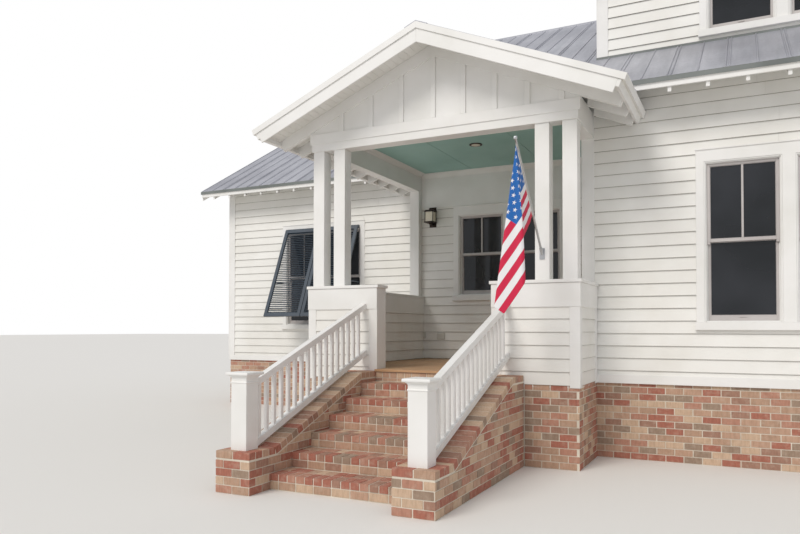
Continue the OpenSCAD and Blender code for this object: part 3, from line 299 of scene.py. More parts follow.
def wornPlanks(name, dark, light, rough):
    # stained softwood boards: long grain along X, and each board its own tone
    material, tree, shader = newMaterial(name, {"Roughness": rough})
    place = addNode(tree, "ShaderNodeTexCoord").outputs["Object"]
    # grain lines 8 mm apart
    along = addNode(tree, "ShaderNodeMapping", {"Vector": place, "Scale": every(333.3, 7.692, 7.692)})
    grain = addNode(tree, "ShaderNodeTexNoise",
                    {"Vector": along, "Scale": 1.0, "Detail": 6.0, "Roughness": 0.65})
    wood = addNode(tree, "ShaderNodeValToRGB", {"Fac": grain}, ((0.3, dark), (0.7, light)))
    tone = addNode(tree, "ShaderNodeAttribute", attribute_name="tone").outputs["Fac"]
    lift = addNode(tree, "ShaderNodeMath", {0: tone, 1: 0.5}, operation="MULTIPLY")
    wood = addNode(tree, "ShaderNodeMix", {0: lift, 6: wood, 7: colour(dark)}, data_type="RGBA")
    ridges = addNode(tree, "ShaderNodeBump", {"Height": grain, "Distance": 0.7 * mm, "Strength": 0.6})
    feed(tree, shader, {"Base Color": wood, "Normal": ridges})
    return material


sidingPaint = housePaint("satin_paint_on_lap_boards", "#f2f1ed", "#e7e5df", 0.5, boards=True)
trimPaint = housePaint("satin_paint_on_trim", "#f0efed", "#e7e6e2", 0.42)
wallPaint = housePaint("flat_paint_behind_boards", "#dedbd3", "#d3cfc6", 0.7)
ceilingPaint = housePaint("blue_green_ceiling_paint", "#a5cdc6", "#97c1ba", 0.55, boards=True)
sashPaint = housePaint("taupe_sash_enamel", "#c6c1bf", "#b8b2b0", 0.36)
eavePaint = housePaint("satin_paint_on_eave_boards", "#efeeea", "#e0dfd8", 0.5, boards=True)
# paint under the foot of each lap board, darker as painted shade: the line of shadow a lap throws
paintedLapShade = housePaint("painted_shade_under_laps", "#9d9a91", "#8f8b82", 0.7)
shutterPaint = housePaint("slate_blue_shutter_enamel", "#3b4754", "#323d49", 0.4)
socketPlastic = housePaint("moulded_grey_plastic", "#dad8d1", "#c9c6be", 0.4)
roofMetal = galvanised()
# weathered zinc for the roof edges and the dormer flashing, made darker than the sheet as painted shade
zincWithPaintedShade = housePaint("weathered_zinc_with_painted_shade", "#7b807e", "#686d6b", 0.5)
brickSkin = brickClay()
porchPlanks = wornPlanks("oiled_pine_porch_boards", "#a8815f", "#d2ab83", 0.5)
floorPlanks = wornPlanks("rough_pine_subfloor", "#8e6f4e", "#b6946c", 0.75)
# cement and lime mortar: pale, matt and grainy, a little darker where it is damp
mortarSkin = mottled("lime_mortar", {"Roughness": 0.94}, (333.3, 333.3, 333.3), {},
                     ((0.3, "#cfc6b6"), (0.7, "#e4dccd")), (1.2, 0.8), (2.632, 3.0))
# float glass drawn opaque: its near-black colour is painted shade of an unlit room behind it, and its broad
# drift between two dark tones is painted reflection; mirror smooth, with the slight wave of old panes
paneGlass = mottled("float_glass_with_painted_shade_and_reflection", {"Roughness": 0.03, "IOR": 1.52}, (909.1, 909.1, 909.1),
                    {"Detail": 2.0}, ((0.35, "#16191c"), (0.7, "#2c2e33")), (2.0, 0.25), (454.5, 1.0))
# oiled hardwood door, grain upright: deep brown, half gloss
doorWood = mottled("oiled_hardwood", {"Roughness": 0.38, "Coat Weight": 0.25}, (16.667, 16.667, 500),
                   {"Detail": 6.0, "Roughness": 0.6}, ((0.3, "#3b2517"), (0.7, "#6a4428")), (0.4, 0.5))
# drawn aluminium tube: bright grey with fine lines round it
poleMetal = mottled("brushed_aluminium", {"Metallic": 1.0, "Roughness": 0.32}, (1.111, 16.667, 16.667),
                    {"Detail": 3.0}, ((0.3, "#b5b7ba"), (0.7, "#d2d4d6")), (0.1, 0.4))
# oil-rubbed bronze finish on the lantern: near black, brown where hands and rain wear it
lanternMetal = mottled("rubbed_bronze", {"Metallic": 0.7, "Roughness": 0.45}, (29.41, 29.41, 29.41), {},
                       ((0.4, "#2a2521"), (0.75, "#55443a")), (0.3, 0.4))
# seeded, etched glass over a lamp that is off: cream and soft
lanternGlass = mottled("etched_glass", {"Roughness": 0.35, "IOR": 1.5, "Coat Weight": 0.4},
                       (6.25, 6.25, 6.25), {"Detail": 3.0}, ((0.35, "#d8cfb8"), (0.7, "#f1ead8")), (0.5, 0.5))
print("materials made")


# Mesh helpers

def frontwards(a, b, c):
    return at(a, c, b)


def sideways(a, b, c):
    return at(c, a, b)


def upwards(a, b, c):
    return at(a, b, c)


def level(x0, x1, z0, z1):
    return [(x0, z0), (x1, z0), (x1, z1), (x0, z1)]


def solid(near, far, tone=0.5, paint=0):
    # the closed solid between two outlines that have as many corners; tone varies its shade,
    # and paint is the place of its material in the piece's list
    count = len(near)
    faces = [list(range(count)), list(range(count, 2 * count))]
    faces += [[i, (i + 1) % count, (i + 1) % count + count, i + count] for i in range(count)]
    return near + far, faces, tone, paint


def drawn(outline, place, start, end, tone=0.5, paint=0):
    # an outline drawn from start to end; place() turns it to the house
    near, far = ([place(a, b, c) for a, b in outline] for c in (start, end))
    return solid(near, far, tone, paint)


def block(x0, x1, y0, y1, z0, z1, tone=0.5, paint=0):
    return drawn(level(x0, x1, z0, z1), frontwards, y0, y1, tone, paint)


def panel(turned, a0, a1, z0, z1, inner, outer):
    # a box set out on a wall: across, up, and out from its face
    return drawn(level(a0, a1, z0, z1), turned, inner, outer)


def outward(mesh):
    work = bmesh.new()
    work.from_mesh(mesh)
    bmesh.ops.recalc_face_normals(work, faces=work.faces)
    work.to_mesh(mesh)
    work.free()


def finishPiece(piece, replaced=(), edge=0.0):
    # edge is the width of the rounded arrises in millimetres
    if edge:
        bevel = piece.modifiers.new("arris", "BEVEL")
        bevel.width = edge * mm
        bevel.segments = 1
        bevel.limit_method = "ANGLE"
        bevel.angle_limit = math.radians(30)
        bevel.use_clamp_overlap = True
    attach(piece, "root")
    if replaced:
        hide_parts(*replaced)
    return piece


def makePiece(name, parts, materials, replaced=(), edge=0.0):
    points, faces, tones, paints = [], [], [], []
    for partPoints, partFaces, tone, paint in parts:
        start = len(points)
        points += partPoints
        faces += [[i + start for i in face] for face in partFaces]
        tones += [tone] * len(partFaces)
        paints += [paint] * len(partFaces)
    mesh = bpy.data.meshes.new(name)
    mesh.from_pydata(points, [], faces)
    layer = mesh.attributes.new("tone", "FLOAT", "FACE")
    layer.data.foreach_set("value", tones)
    for material in materials:
        mesh.materials.append(material)
    mesh.polygons.foreach_set("material_index", paints)
    outward(mesh)
    return finishPiece(addObject(name, mesh), replaced, edge)


def paintNode(node, material):
    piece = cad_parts[node]
    piece.data.materials.clear()
    piece.data.materials.append(material)


def dress(node, materials, edge=2.5, choose=None):
    # a welded copy of a CAD node with rounded arrises; choose(face) gives the place of a face's material
    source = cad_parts[node]
    work = bmesh.new()
    work.from_mesh(source.data)
    bmesh.ops.remove_doubles(work, verts=work.verts, dist=0.05 * mm)
    bmesh.ops.dissolve_limit(work, angle_limit=math.radians(1), verts=work.verts, edges=work.edges)
    mesh = bpy.data.meshes.new(node + "_finish")
    work.to_mesh(mesh)
    work.free()
    mesh.materials.clear()
    for material in materials:
        mesh.materials.append(material)
    for polygon in mesh.polygons:
        polygon.material_index = choose(polygon) if choose else 0
    return finishPiece(addObject(node + "_finish", mesh), (node,), edge)


print("helpers ready")


# Lap siding

siding = {
    "exposure": 152.4,
    "butt": 16.0,
    "tip": 2.0,
    "firstLine": 6.2,
    "longest": 3900.0,
    "shortest": 600.0,
    "joint": 2.0,
    "paintedLapShade": 2.4,
    "dripUnder": 0.6,
    "dripOut": 0.3,
    "sliver": 2.0,
    "cornerBoard": 140.0,
    "friezeFoot": 2640.0,
    "gableFoot": 40.0,
    "gableEnd": 200.0,
}
chance = random.Random(41)


def clipped(outline, edge):
    # keeps the part of an outline that lies left of the edge (ax, az, bx, bz)
    ax, az, bx, bz = edge
    kept = []
    for i, (x0, z0) in enumerate(outline):
        x1, z1 = outline[(i + 1) % len(outline)]
        side0 = (bx - ax) * (z0 - az) - (bz - az) * (x0 - ax)
        side1 = (bx - ax) * (z1 - az) - (bz - az) * (x1 - ax)
        if side0 >= 0:
            kept.append((x0, z0))
        if side0 * side1 < 0:
            share = side0 / (side0 - side1)
            kept.append((x0 + (x1 - x0) * share, z0 + (z1 - z0) * share))
    return kept


def openSpans(start, end, holes):
    # what is left of start to end when the holes are taken out
    spans = [(start, end)]
    for a, b in holes:
        cut = [piece for s, e in spans for piece in ((s, min(e, a)), (max(s, b), e))]
        spans = [piece for piece in cut if piece[1] - piece[0] > 5]
    return spans


def boardCuts(left, right):
    # the butt joints of one course, at random lengths
    cuts = []
    reach = left + chance.uniform(0.4, 1.0) * siding["longest"]
    while reach < right - siding["shortest"]:
        cuts.append((reach, reach + siding["joint"]))
        reach += chance.uniform(0.6, 1.0) * siding["longest"]
    return cuts


def lapBoards(outline, holes, place, butt=siding["butt"], firstLine=siding["firstLine"]):
    # courses of tapered boards on a wall, each with a strip of painted shade under its foot. The outline is
    # convex and runs anticlockwise as (across, up), holes are (left, right, foot, head), and place() turns
    # them
    tip, step = min(siding["tip"], butt * 0.4), siding["exposure"]
    edges = [(*outline[i - 1], *outline[i]) for i in (*range(1, len(outline)), 0)]
    left, right = min(x for x, z in outline), max(x for x, z in outline)
    lowest, highest = min(z for x, z in outline), max(z for x, z in outline)
    parts = []
    for course in range(math.floor((lowest - firstLine) / step), math.ceil((highest - firstLine) / step)):
        foot = firstLine + course * step
        sides = {z for hole in holes for z in hole[2:] if foot < z < foot + step}
        levels = sorted({foot, foot + step} | sides)
        cuts = boardCuts(left, right)
        for z0, z1 in zip(levels, levels[1:]):
            taken = [hole[:2] for hole in holes if hole[2] < z1 - 0.1 and hole[3] > z0 + 0.1]
            for x0, x1 in openSpans(left, right, taken + cuts):
                shape = level(x0, x1, z0, z1)
                drip = level(x0, x1, foot - siding["dripUnder"], foot + siding["paintedLapShade"])
                for edge in edges:
                    shape, drip = clipped(shape, edge), clipped(drip, edge)
                if len(shape) < 3 or max(z for x, z in shape) - min(z for x, z in shape) < siding["sliver"]:
                    continue
                # the strip under the foot is painted shade, the dark line under each lap
                if z0 == foot and len(drip) > 2:
                    parts.append(drawn(drip, place, 0.1, butt + siding["dripOut"], 0.5, 1))
                near = [place(x, z, 0.2) for x, z in shape]
                far = [place(x, z, butt - (butt - tip) * (z - foot) / step) for x, z in shape]
                parts.append(solid(near, far, chance.random()))
    return parts


def facing(direction, wall):
    # turns (across, up, out) to the house for a wall that faces front, back, left or right
    return {
        "front": lambda a, b, out: at(a, wall - out, b),
        "back": lambda a, b, out: at(a, wall + out, b),
        "left": lambda a, b, out: at(wall - out, a, b),
        "right": lambda a, b, out: at(wall + out, a, b),
    }[direction]


# levels and slopes that the roofs share
roof = {
    "eaveY": yOf(low("main_roof_front").y),
    "rearEaveY": yOf(high("main_roof_rear").y),
    "wingEaveY": yOf(low("wing_roof").y),
    "dormerEaveY": yOf(low("dormer_roof").y),
    "pitch": 0.583,
    "porchPitch": 0.418,
    "dormerPitch": 0.167,
    "sheet": 60.0,
    "clear": 2.0,
    "porchDeck": 78.0,
    "left": xOf(low("main_roof_front").x),
    "right": xOf(high("main_roof_front").x),
    "wingLeft": xOf(low("wing_roof").x),
    "porchHalf": (high("porch_roof").x - low("porch_roof").x) / mm / 2,
    "porchFront": yOf(low("porch_roof").y),
    "dormerLeft": xOf(low("dormer_roof").x),
    "dormerRight": xOf(high("dormer_roof").x),
}
roof["eaveZ"] = zOf(low("main_roof_front").z) + roof["sheet"]
roof["ridgeY"] = (roof["eaveY"] + roof["rearEaveY"]) / 2
roof["wingRidgeY"] = (roof["wingEaveY"] + roof["rearEaveY"]) / 2
roof["porchPeak"] = house["peak"] + roof["porchDeck"]


def mainZ(y):
    return roof["eaveZ"] + (min(y, 2 * roof["ridgeY"] - y) - roof["eaveY"]) * roof["pitch"]


def wingZ(y):
    return roof["eaveZ"] + (min(y, 2 * roof["wingRidgeY"] - y) - roof["wingEaveY"]) * roof["pitch"]


def dormerZ(y):
    return mainZ(roof["ridgeY"]) + roof["sheet"] - (roof["ridgeY"] - y) * roof["dormerPitch"]


def porchZ(x):
    return roof["porchPeak"] - abs(x) * roof["porchPitch"]


openings = {
    "width": 815.0,
    "pitch": 950.0,
    "casing": 92.0,
    "head": 152.0,
    "sill": 90.0,
    "tallSill": 596.0,
    "tallHeight": 1904.0,
    "porchMiddle": -40.0,
    "porchSill": 1088.0,
    "porchHeight": 1384.0,
    "dormerSill": 150.0,
    "dormerHeight": 1150.0,
    "rearCount": 5,
    "rightPitch": 2400.0,
    "leftPitch": 3000.0,
    "meeting": 0.508,
}


def windowRow(middles, sill, height, side, wall):
    # windows as (middle, sill, width, height, wall side, wall place)
    return [(middle, sill, openings["width"], height, side, wall) for middle in middles]


def windowPair(middle, sill, height, wall):
    half = openings["pitch"] / 2
    return windowRow((middle - half, middle + half), sill, height, "front", wall)


def spread(middle, pitch, count):
    return [middle + pitch * (i - (count - 1) / 2) for i in range(count)]


tallSill, tallHeight = openings["tallSill"], openings["tallHeight"]
porchSill, porchHeight = openings["porchSill"], openings["porchHeight"]
blockMiddle = (house["blockX"] + house["right"]) / 2
dormerSill = mainZ(house["dormerY"]) + openings["dormerSill"]
rearPitch = (house["right"] - house["wingLeft"]) / openings["rearCount"]
rearMiddles = spread((house["right"] + house["wingLeft"]) / 2, rearPitch, openings["rearCount"])
blockWindows = windowPair(blockMiddle, tallSill, tallHeight, house["blockY"])
dormerWindows = windowPair(blockMiddle, dormerSill, openings["dormerHeight"], house["dormerY"])
porchWindows = windowPair(openings["porchMiddle"], porchSill, porchHeight, house["backY"])
wingWindows = windowPair((house["wingLeft"] + house["left"]) / 2, tallSill, tallHeight, house["wingY"])
rearWindows = windowRow(rearMiddles, porchSill, porchHeight, "back", house["rearY"])
rightWindows = windowRow(spread(roof["ridgeY"], openings["rightPitch"], 3), tallSill, tallHeight,
                         "right", house["right"])
leftWindows = windowRow(spread(roof["wingRidgeY"], openings["leftPitch"], 2), tallSill, tallHeight,
                        "left", house["wingLeft"])
# a group stands under one casing, and a single window has its own
groupedWindows = (blockWindows, dormerWindows, porchWindows, wingWindows)
singleWindows = (rearWindows, rightWindows, leftWindows)


def windowHoles(windows):
    # what the casing and the sill board of each window, or of the whole group, cover
    holes = [(m - w / 2 - openings["casing"], m + w / 2 + openings["casing"],
              sill - openings["sill"], sill + h + openings["head"]) for m, sill, w, h, side, wall in windows]
    if windows in groupedWindows:
        return [(min(h[0] for h in holes), max(h[1] for h in holes), holes[0][2], holes[0][3])]
    return holes


door = {
    "middle": (house["blockY"] + house["backY"]) / 2,
    "width": 914.0,
    "height": 2134.0,
    "casing": 110.0,
    "stile": 120.0,
    "lightHeight": 500.0,
    "setBack": 40.0,
    "bar": 22.0,
}


def roofEnd(rise, ridge, y0, y1, foot):
    # the outline of a wall under a roof whose ridge lies between y0 and y1
    under = roof["sheet"] + roof["clear"]
    return [(y0, foot), (y1, foot)] + [(y, rise(y) - under) for y in (y1, ridge, y0)]


def sideWalls():
    corner, foot, under = siding["cornerBoard"], house["skirtTop"], roof["sheet"] + roof["clear"]
    b, r, wl, hl = house["blockX"], house["right"], house["wingLeft"], house["left"]
    by, dy, ry, wy, py = house["blockY"], house["dormerY"], house["rearY"], house["wingY"], house["backY"]
    ridge, wingRidge, head = roof["ridgeY"], roof["wingRidgeY"], siding["friezeFoot"]
    half = door["width"] / 2 + door["casing"]
    doorHole = (door["middle"] - half, door["middle"] + half, -10, door["height"] + door["casing"])
    gableFoot = house["ceiling"] + siding["gableFoot"]
    cheekSide = [(dy + corner, mainZ(dy + corner)), (ridge, mainZ(ridge)), (ridge, mainZ(ridge) + 1),
                 (dy + corner, dormerZ(dy + corner) - under)]
    walls = (
        (level(b + corner, r - corner, foot, mainZ(by) - under), windowHoles(blockWindows), "front", by),
        (level(house["pilaster"], b, 0, head), windowHoles(porchWindows), "front", py),
        (level(by + corner, py, 0, head), [doorHole], "left", b),
        (level(wl + corner, hl, foot, wingZ(wy) - under), windowHoles(wingWindows), "front", wy),
        (level(wl + corner, r - corner, foot, mainZ(ry) - under), windowHoles(rearWindows), "back", ry),
        (roofEnd(mainZ, ridge, by + corner, ry - corner, foot), windowHoles(rightWindows), "right", r),
        (roofEnd(wingZ, wingRidge, wy + corner, ry - corner, foot), windowHoles(leftWindows), "left", wl),
        (roofEnd(mainZ, ridge, by, ry - siding["gableEnd"], gableFoot), [], "left", hl),
        (level(py, wy, foot, house["ceiling"]), [], "left", hl),
        (level(b + corner, r - corner, mainZ(dy), dormerZ(dy) - under),
         windowHoles(dormerWindows), "front", dy),
        (cheekSide, [], "left", b),
        (cheekSide, [], "right", r),
    )
    parts = []
    for outline, holes, side, wall in walls:
        parts += lapBoards(outline, holes, facing(side, wall))
    return parts


makePiece("lap_siding", sideWalls(), [sidingPaint, paintedLapShade])
for wallNode in ("right_front_wall", "porch_back_wall", "porch_side_wall", "wing_front_wall", "wing_end_wall",
                 "right_end_wall", "rear_wall", "left_gable_wall", "dormer_front_wall", "dormer_side_walls"):
    paintNode(wallNode, wallPaint)
print("siding laid")


# Brickwork

brick = {
    "length": 194.0,
    "height": 71.0,
    "depth": 92.0,
    "joint": 10.0,
    "course": 81.3,
    "proud": 5.0,
    "inside": 20.0,
    "leastPiece": 30.0,
    "slip": 0.8,
    "leastSize": 0.985,
    "footingInset": 15.0,
    "footingFoot": 6.0,
    "footingHead": 8.0,
    "pedestalClear": 14.0,
    "cheekClear": 12.0,
    "seed": 7,
    "jitterDegrees": 0.35,
}
stair = {
    "risers": 7,
    "rise": 155.0,
    "run": 365.0,
    "headers": 15,
    "headerHeight": 68.0,
    "proud": 4.0,
    "nose": 68.0,
    "overhang": 3.0,
    "rowThick": 40.0,
    "topBack": 25.0,
    "topUnder": 35.0,
    "side": 4.0,
    "bond": 100.0,
}
cheek = {
    "inner": 0.4 - xOf(low("brick_steps").x),
    "outer": xOf(high("cheek_walls").x),
    "front": yOf(low("cheek_walls").y),
    "back": -4.0,
    "pierDepth": 421.0,
    "pierTop": house["ground"] + 407,
    "slope": 0.372,
    "top": zOf(high("cheek_walls").z),
    "firstBed": house["ground"] + 5,
    "courses": 13,
    "pierCourses": 4,
    "pierBond": 104.0,
    "capProud": 4.0,
    "capCut": 6.0,
    "cutInside": -15.0,
    "leastCut": 8.0,
}
cheek["footY"] = cheek["front"] + cheek["pierDepth"]
cheek["topY"] = cheek["footY"] + (cheek["top"] - cheek["pierTop"]) / cheek["slope"]


def cheekZ(y):
    return min(cheek["pierTop"] + max(0, y - cheek["footY"]) * cheek["slope"], cheek["top"])


def newTree(name, inputs):
    # a geometry node tree with named inputs; gives the tree, its input and output nodes and the identifiers
    tree = bpy.data.node_groups.new(name, "GeometryNodeTree")
    names = {}
    for label, kind in (("Geometry", "NodeSocketGeometry"), *inputs):
        names[label] = tree.interface.new_socket(name=label, in_out="INPUT", socket_type=kind).identifier
    tree.interface.new_socket(name="Geometry", in_out="OUTPUT", socket_type="NodeSocketGeometry")
    return tree, addNode(tree, "NodeGroupInput").outputs, addNode(tree, "NodeGroupOutput"), names


def endTree(tree, geometry, material, output):
    whole = addNode(tree, "GeometryNodeRealizeInstances", {"Geometry": geometry})
    painted = addNode(tree, "GeometryNodeSetMaterial", {"Geometry": whole, "Material": material})
    feed(tree, output, {"Geometry": painted})


def layTree():
    # puts one unit piece on every point, sized and turned by the point's own attributes
    tree, given, output, names = newTree("lay_on_points", (
        ("Piece", "NodeSocketObject"), ("Material", "NodeSocketMaterial"),
        ("Jitter", "NodeSocketFloat"), ("Seed", "NodeSocketInt")))
    size = addNode(tree, "GeometryNodeInputNamedAttribute", {"Name": "size"}, data_type="FLOAT_VECTOR")
    turn = addNode(tree, "GeometryNodeInputNamedAttribute", {"Name": "turn"}, data_type="FLOAT_VECTOR")
    less = addNode(tree, "ShaderNodeMath", {0: given["Jitter"], 1: -1.0}, operation="MULTIPLY")
    wobble = addNode(tree, "FunctionNodeRandomValue",
                     {"Min": less, "Max": given["Jitter"], "Seed": given["Seed"]}, data_type="FLOAT_VECTOR")
    total = addNode(tree, "ShaderNodeVectorMath", {0: turn, 1: wobble}, operation="ADD")
    rotation = addNode(tree, "FunctionNodeEulerToRotation", {"Euler": total})
    source = addNode(tree, "GeometryNodeObjectInfo", {"Object": given["Piece"]}).outputs["Geometry"]
    laid = addNode(tree, "GeometryNodeInstanceOnPoints", {
        "Points": given["Geometry"], "Instance": source, "Rotation": rotation, "Scale": size})
    endTree(tree, laid, given["Material"], output)
    return tree, names


def sweepTree():
    # draws a closed profile along every edge of a mesh, upright side up
    tree, given, output, names = newTree("sweep_along_edges", (
        ("Profile", "NodeSocketObject"), ("Material", "NodeSocketMaterial")))
    paths = addNode(tree, "GeometryNodeMeshToCurve", {"Mesh": given["Geometry"]})
    upright = addNode(tree, "GeometryNodeSetCurveNormal", {"Curve": paths}, mode="Z_UP")
    source = addNode(tree, "GeometryNodeObjectInfo", {"Object": given["Profile"]}).outputs["Geometry"]
    profile = addNode(tree, "GeometryNodeMeshToCurve", {"Mesh": source})
    swept = addNode(tree, "GeometryNodeCurveToMesh", {
        "Curve": upright, "Profile Curve": profile, "Fill Caps": True})
    endTree(tree, swept, given["Material"], output)
    return tree, names


layNodes, layNames = layTree()
sweepNodes, sweepNames = sweepTree()


def grown(name, mesh, tree, names, values):
    # runs a node tree over a mesh and keeps the plain result
    source = addObject(name + "_points", mesh)
    modifier = source.modifiers.new("nodes", "NODES")
    modifier.node_group = tree
    for label, value in values.items():
        modifier[names[label]] = value
    made = bpy.data.meshes.new_from_object(source.evaluated_get(bpy.context.evaluated_depsgraph_get()))
    bpy.data.objects.remove(source)
    outward(made)
    made.name = name
    return finishPiece(addObject(name, made))


def unitBrick():
    # one metre each way with a fine arris, so that a size can be given as its scale
    work = bmesh.new()
    bmesh.ops.create_cube(work, size=1.0)
    bmesh.ops.bevel(work, geom=work.edges[:], offset=0.022, segments=1, affect="EDGES", profile=0.5)
    mesh = bpy.data.meshes.new("unit_brick")
    work.to_mesh(mesh)
    work.free()
    return addObject("unit_brick", mesh)


brickLay = random.Random(brick["seed"])


def laidBrick(x0, x1, y0, y1, z0, z1, turn=(0, 0, 0), tone=None):
    # one brick between two corners, a little off its place, as (middle, size, turn, tone)
    slip = [brickLay.uniform(-brick["slip"], brick["slip"]) for i in range(3)]
    middle = at((x0 + x1) / 2 + slip[0], (y0 + y1) / 2 + slip[1], (z0 + z1) / 2 + slip[2])
    sides = (x1 - x0, y1 - y0, z1 - z0)
    size = [side * mm * brickLay.uniform(brick["leastSize"], 1.0) for side in sides]
    return middle, size, turn, brickLay.random() if tone is None else tone


def faceBrick(a, b, foot, head, side, wall, tone=None):
    # a brick on a wall that faces front, back, left or right; its face stands proud of the mortar
    inside, proud = brick["inside"], brick["proud"]
    near, far = (wall - proud, wall + inside) if side in ("front", "left") else (wall - inside, wall + proud)
    if side in ("front", "back"):
        return laidBrick(a, b, near, far, foot, head, tone=tone)
    return laidBrick(near, far, a, b, foot, head, tone=tone)


def stretchers(u0, u1, shift=0.0):
    # the ends of each brick in one course from u0 to u1; shift moves the bond back
    start = u0 - shift
    while start < u1:
        a, b = max(start, u0), min(start + brick["length"], u1)
        if b - a > brick["leastPiece"]:
            yield a, b
        start += brick["length"] + brick["joint"]


def layBricks(name, laid):
    mesh = bpy.data.meshes.new(name)
    mesh.from_pydata([item[0] for item in laid], [], [])
    for label, kind, column in (("size", "FLOAT_VECTOR", 1), ("turn", "FLOAT_VECTOR", 2)):
        layer = mesh.attributes.new(label, kind, "POINT")
        layer.data.foreach_set("vector", [value for item in laid for value in item[column]])
    tones = mesh.attributes.new("tone", "FLOAT", "POINT")
    tones.data.foreach_set("value", [item[3] for item in laid])
    return grown(name, mesh, layNodes, layNames, {
        "Piece": brickUnit, "Material": brickSkin,
        "Jitter": math.radians(brick["jitterDegrees"]), "Seed": brick["seed"]})


def halfBond(course):
    return (brick["length"] + brick["joint"]) / 2 if course % 2 else 0


def brickFace(u0, u1, z0, z1, side, wall):
    # running bond over a flat wall
    laid = []
    courses = max(1, round((z1 - z0 + brick["joint"]) / brick["course"]))
    rise = (z1 - z0 + brick["joint"]) / courses
    for course in range(courses):
        foot = z0 + course * rise
        for a, b in stretchers(u0, u1, halfBond(course)):
            laid.append(faceBrick(a, b, foot, foot + rise - brick["joint"], side, wall))
    return laid


def footingBricks():
    f = brick["footingInset"]
    z0, z1 = house["ground"] + brick["footingFoot"], house["footing"] - brick["footingHead"]
    r, wl, hl = house["right"] - f, house["wingLeft"] + f, house["left"] + f
    by, ry, wy = house["blockY"] + f, house["rearY"] - f, house["wingY"] + f
    porchSide, porchBack = house["pedestalOuter"] - f, house["pedestalBack"]
    cheekSide, clear = cheek["outer"] + brick["cheekClear"], porchBack + brick["pedestalClear"]
    runs = ((porchSide, r, "front", by), (by, ry, "right", r), (wl, r, "back", ry), (wy, ry, "left", wl),
            (wl, hl, "front", wy), (clear, wy, "left", hl), (clear, by, "right", porchSide),
            (cheekSide, porchSide, "front", f), (-porchSide, -cheekSide, "front", f),
            (f, porchBack, "right", porchSide), (f, porchBack, "left", -porchSide))
    laid = []
    for u0, u1, side, wall in runs:
        laid += brickFace(u0, u1, z0, z1, side, wall)
    return laid


def stepBricks():
    # each step: a nosing of headers, a second row behind it and a course of stretchers under the nosing.
    # The riser under the porch floor has the headers and the stretchers only
    laid = []
    half, proud, long, joint = cheek["inner"] - stair["side"], stair["proud"], brick["length"], brick["joint"]
    pitch = (2 * half + joint) / stair["headers"]
    for i in range(stair["risers"]):
        if i:
            # reds, with a few of the grey-brown kinds
            nosingTone = (-0.12, 0.4)
            face, top = -stair["nose"] - stair["run"] * i, proud - stair["rise"] * i
        else:
            # the pale kinds
            nosingTone = (0.46, 0.7)
            face, top = stair["topBack"] - stair["nose"], -stair["topUnder"]
        under = top - stair["headerHeight"]
        for k in range(stair["headers"]):
            x0 = k * pitch - half
            x1 = x0 + pitch - joint
            laid.append(laidBrick(x0, x1, face - proud - stair["overhang"], face + long - joint, under, top,
                                  tone=brickLay.uniform(*nosingTone) % 1))
            if i:
                laid.append(laidBrick(x0, x1, face + long + 1, face + stair["run"] - joint,
                                      top - proud - stair["rowThick"], top, tone=brickLay.uniform(0.0, 0.8)))
        bed = proud + 6 - stair["rise"] * (i + 1)
        for a, b in stretchers(-half, half, 0 if i % 2 else stair["bond"]):
            laid.append(faceBrick(a, b, bed, under - 9, "front", face, tone=brickLay.uniform(0.3, 0.9)))
    return laid


def cheekCaps():
    # bricks laid flat across the wall, two to a row, on the pier, up the slope and along the top
    laid = []
    joint, thick, angle = brick["joint"], brick["height"], math.atan(cheek["slope"])
    inner, outer = cheek["inner"] - brick["proud"], cheek["outer"] + brick["proud"]
    split = (cheek["inner"] + cheek["outer"]) / 2
    runs = ((cheek["front"] - brick["proud"], cheek["footY"] - 12, 0.0),
            (cheek["footY"], cheek["topY"] - 8, angle),
            (cheek["topY"] + 8, -6, 0.0))
    for y0, y1, tilt in runs:
        length = (y1 - y0) / math.cos(tilt)
        rows = max(1, round(length / (brick["depth"] + joint)))
        pitch = (length + joint) / rows
        half = (pitch - joint) / 2
        for k in range(rows):
            y = y0 + ((k + 0.5) * pitch - joint / 2) * math.cos(tilt)
            z = cheekZ(y) + cheek["capProud"] - thick / 2 / math.cos(tilt)
            box = (y - half, y + half, z - thick / 2, z + thick / 2)
            for x0, x1 in ((inner, split - joint / 2), (split + joint / 2, outer)):
                for a, b in ((-x1, -x0), (x0, x1)):
                    laid.append(laidBrick(a, b, *box, (tilt, 0, 0)))
    return laid


def cheekFaces():
    # courses on the sides and the front of the cheek walls; bricks under the slope are cut to it
    laid, cut = [], []
    inner, outer, y0, y1 = cheek["inner"], cheek["outer"], cheek["front"], cheek["back"]
    capDepth = brick["height"] + brick["joint"]
    line, topLine = cheek["pierTop"] - capDepth - cheek["capCut"], cheek["top"] - capDepth
    underSlope = (cheek["footY"] + 1000, line + 1000 * cheek["slope"], cheek["footY"], line)
    for side, wall in (("left", -outer), ("right", -inner), ("left", inner), ("right", outer)):
        for course in range(cheek["courses"]):
            foot = cheek["firstBed"] + course * brick["course"]
            head = foot + brick["height"]
            for a, b in stretchers(y0, y1, halfBond(course)):
                if cheekZ(b) - capDepth < foot + cheek["leastCut"]:
                    continue
                if cheekZ(a) - capDepth >= head:
                    laid.append(faceBrick(a, b, foot, head, side, wall))
                    continue
                shape = clipped(clipped(level(a, b, foot, head), underSlope), (y1, topLine, y0, topLine))
                if len(shape) > 2:
                    cut.append(drawn(shape, facing(side, wall), cheek["cutInside"], brick["proud"],
                                     brickLay.random()))
    proud = brick["proud"]
    for a, b in ((-outer - proud, proud - inner), (inner - proud, outer + proud)):
        for course in range(cheek["pierCourses"]):
            foot = cheek["firstBed"] + course * brick["course"]
            for u0, u1 in stretchers(a, b, cheek["pierBond"] if course % 2 else 0):
                laid.append(faceBrick(u0, u1, foot, foot + brick["height"], "front", y0))
    return laid, cut


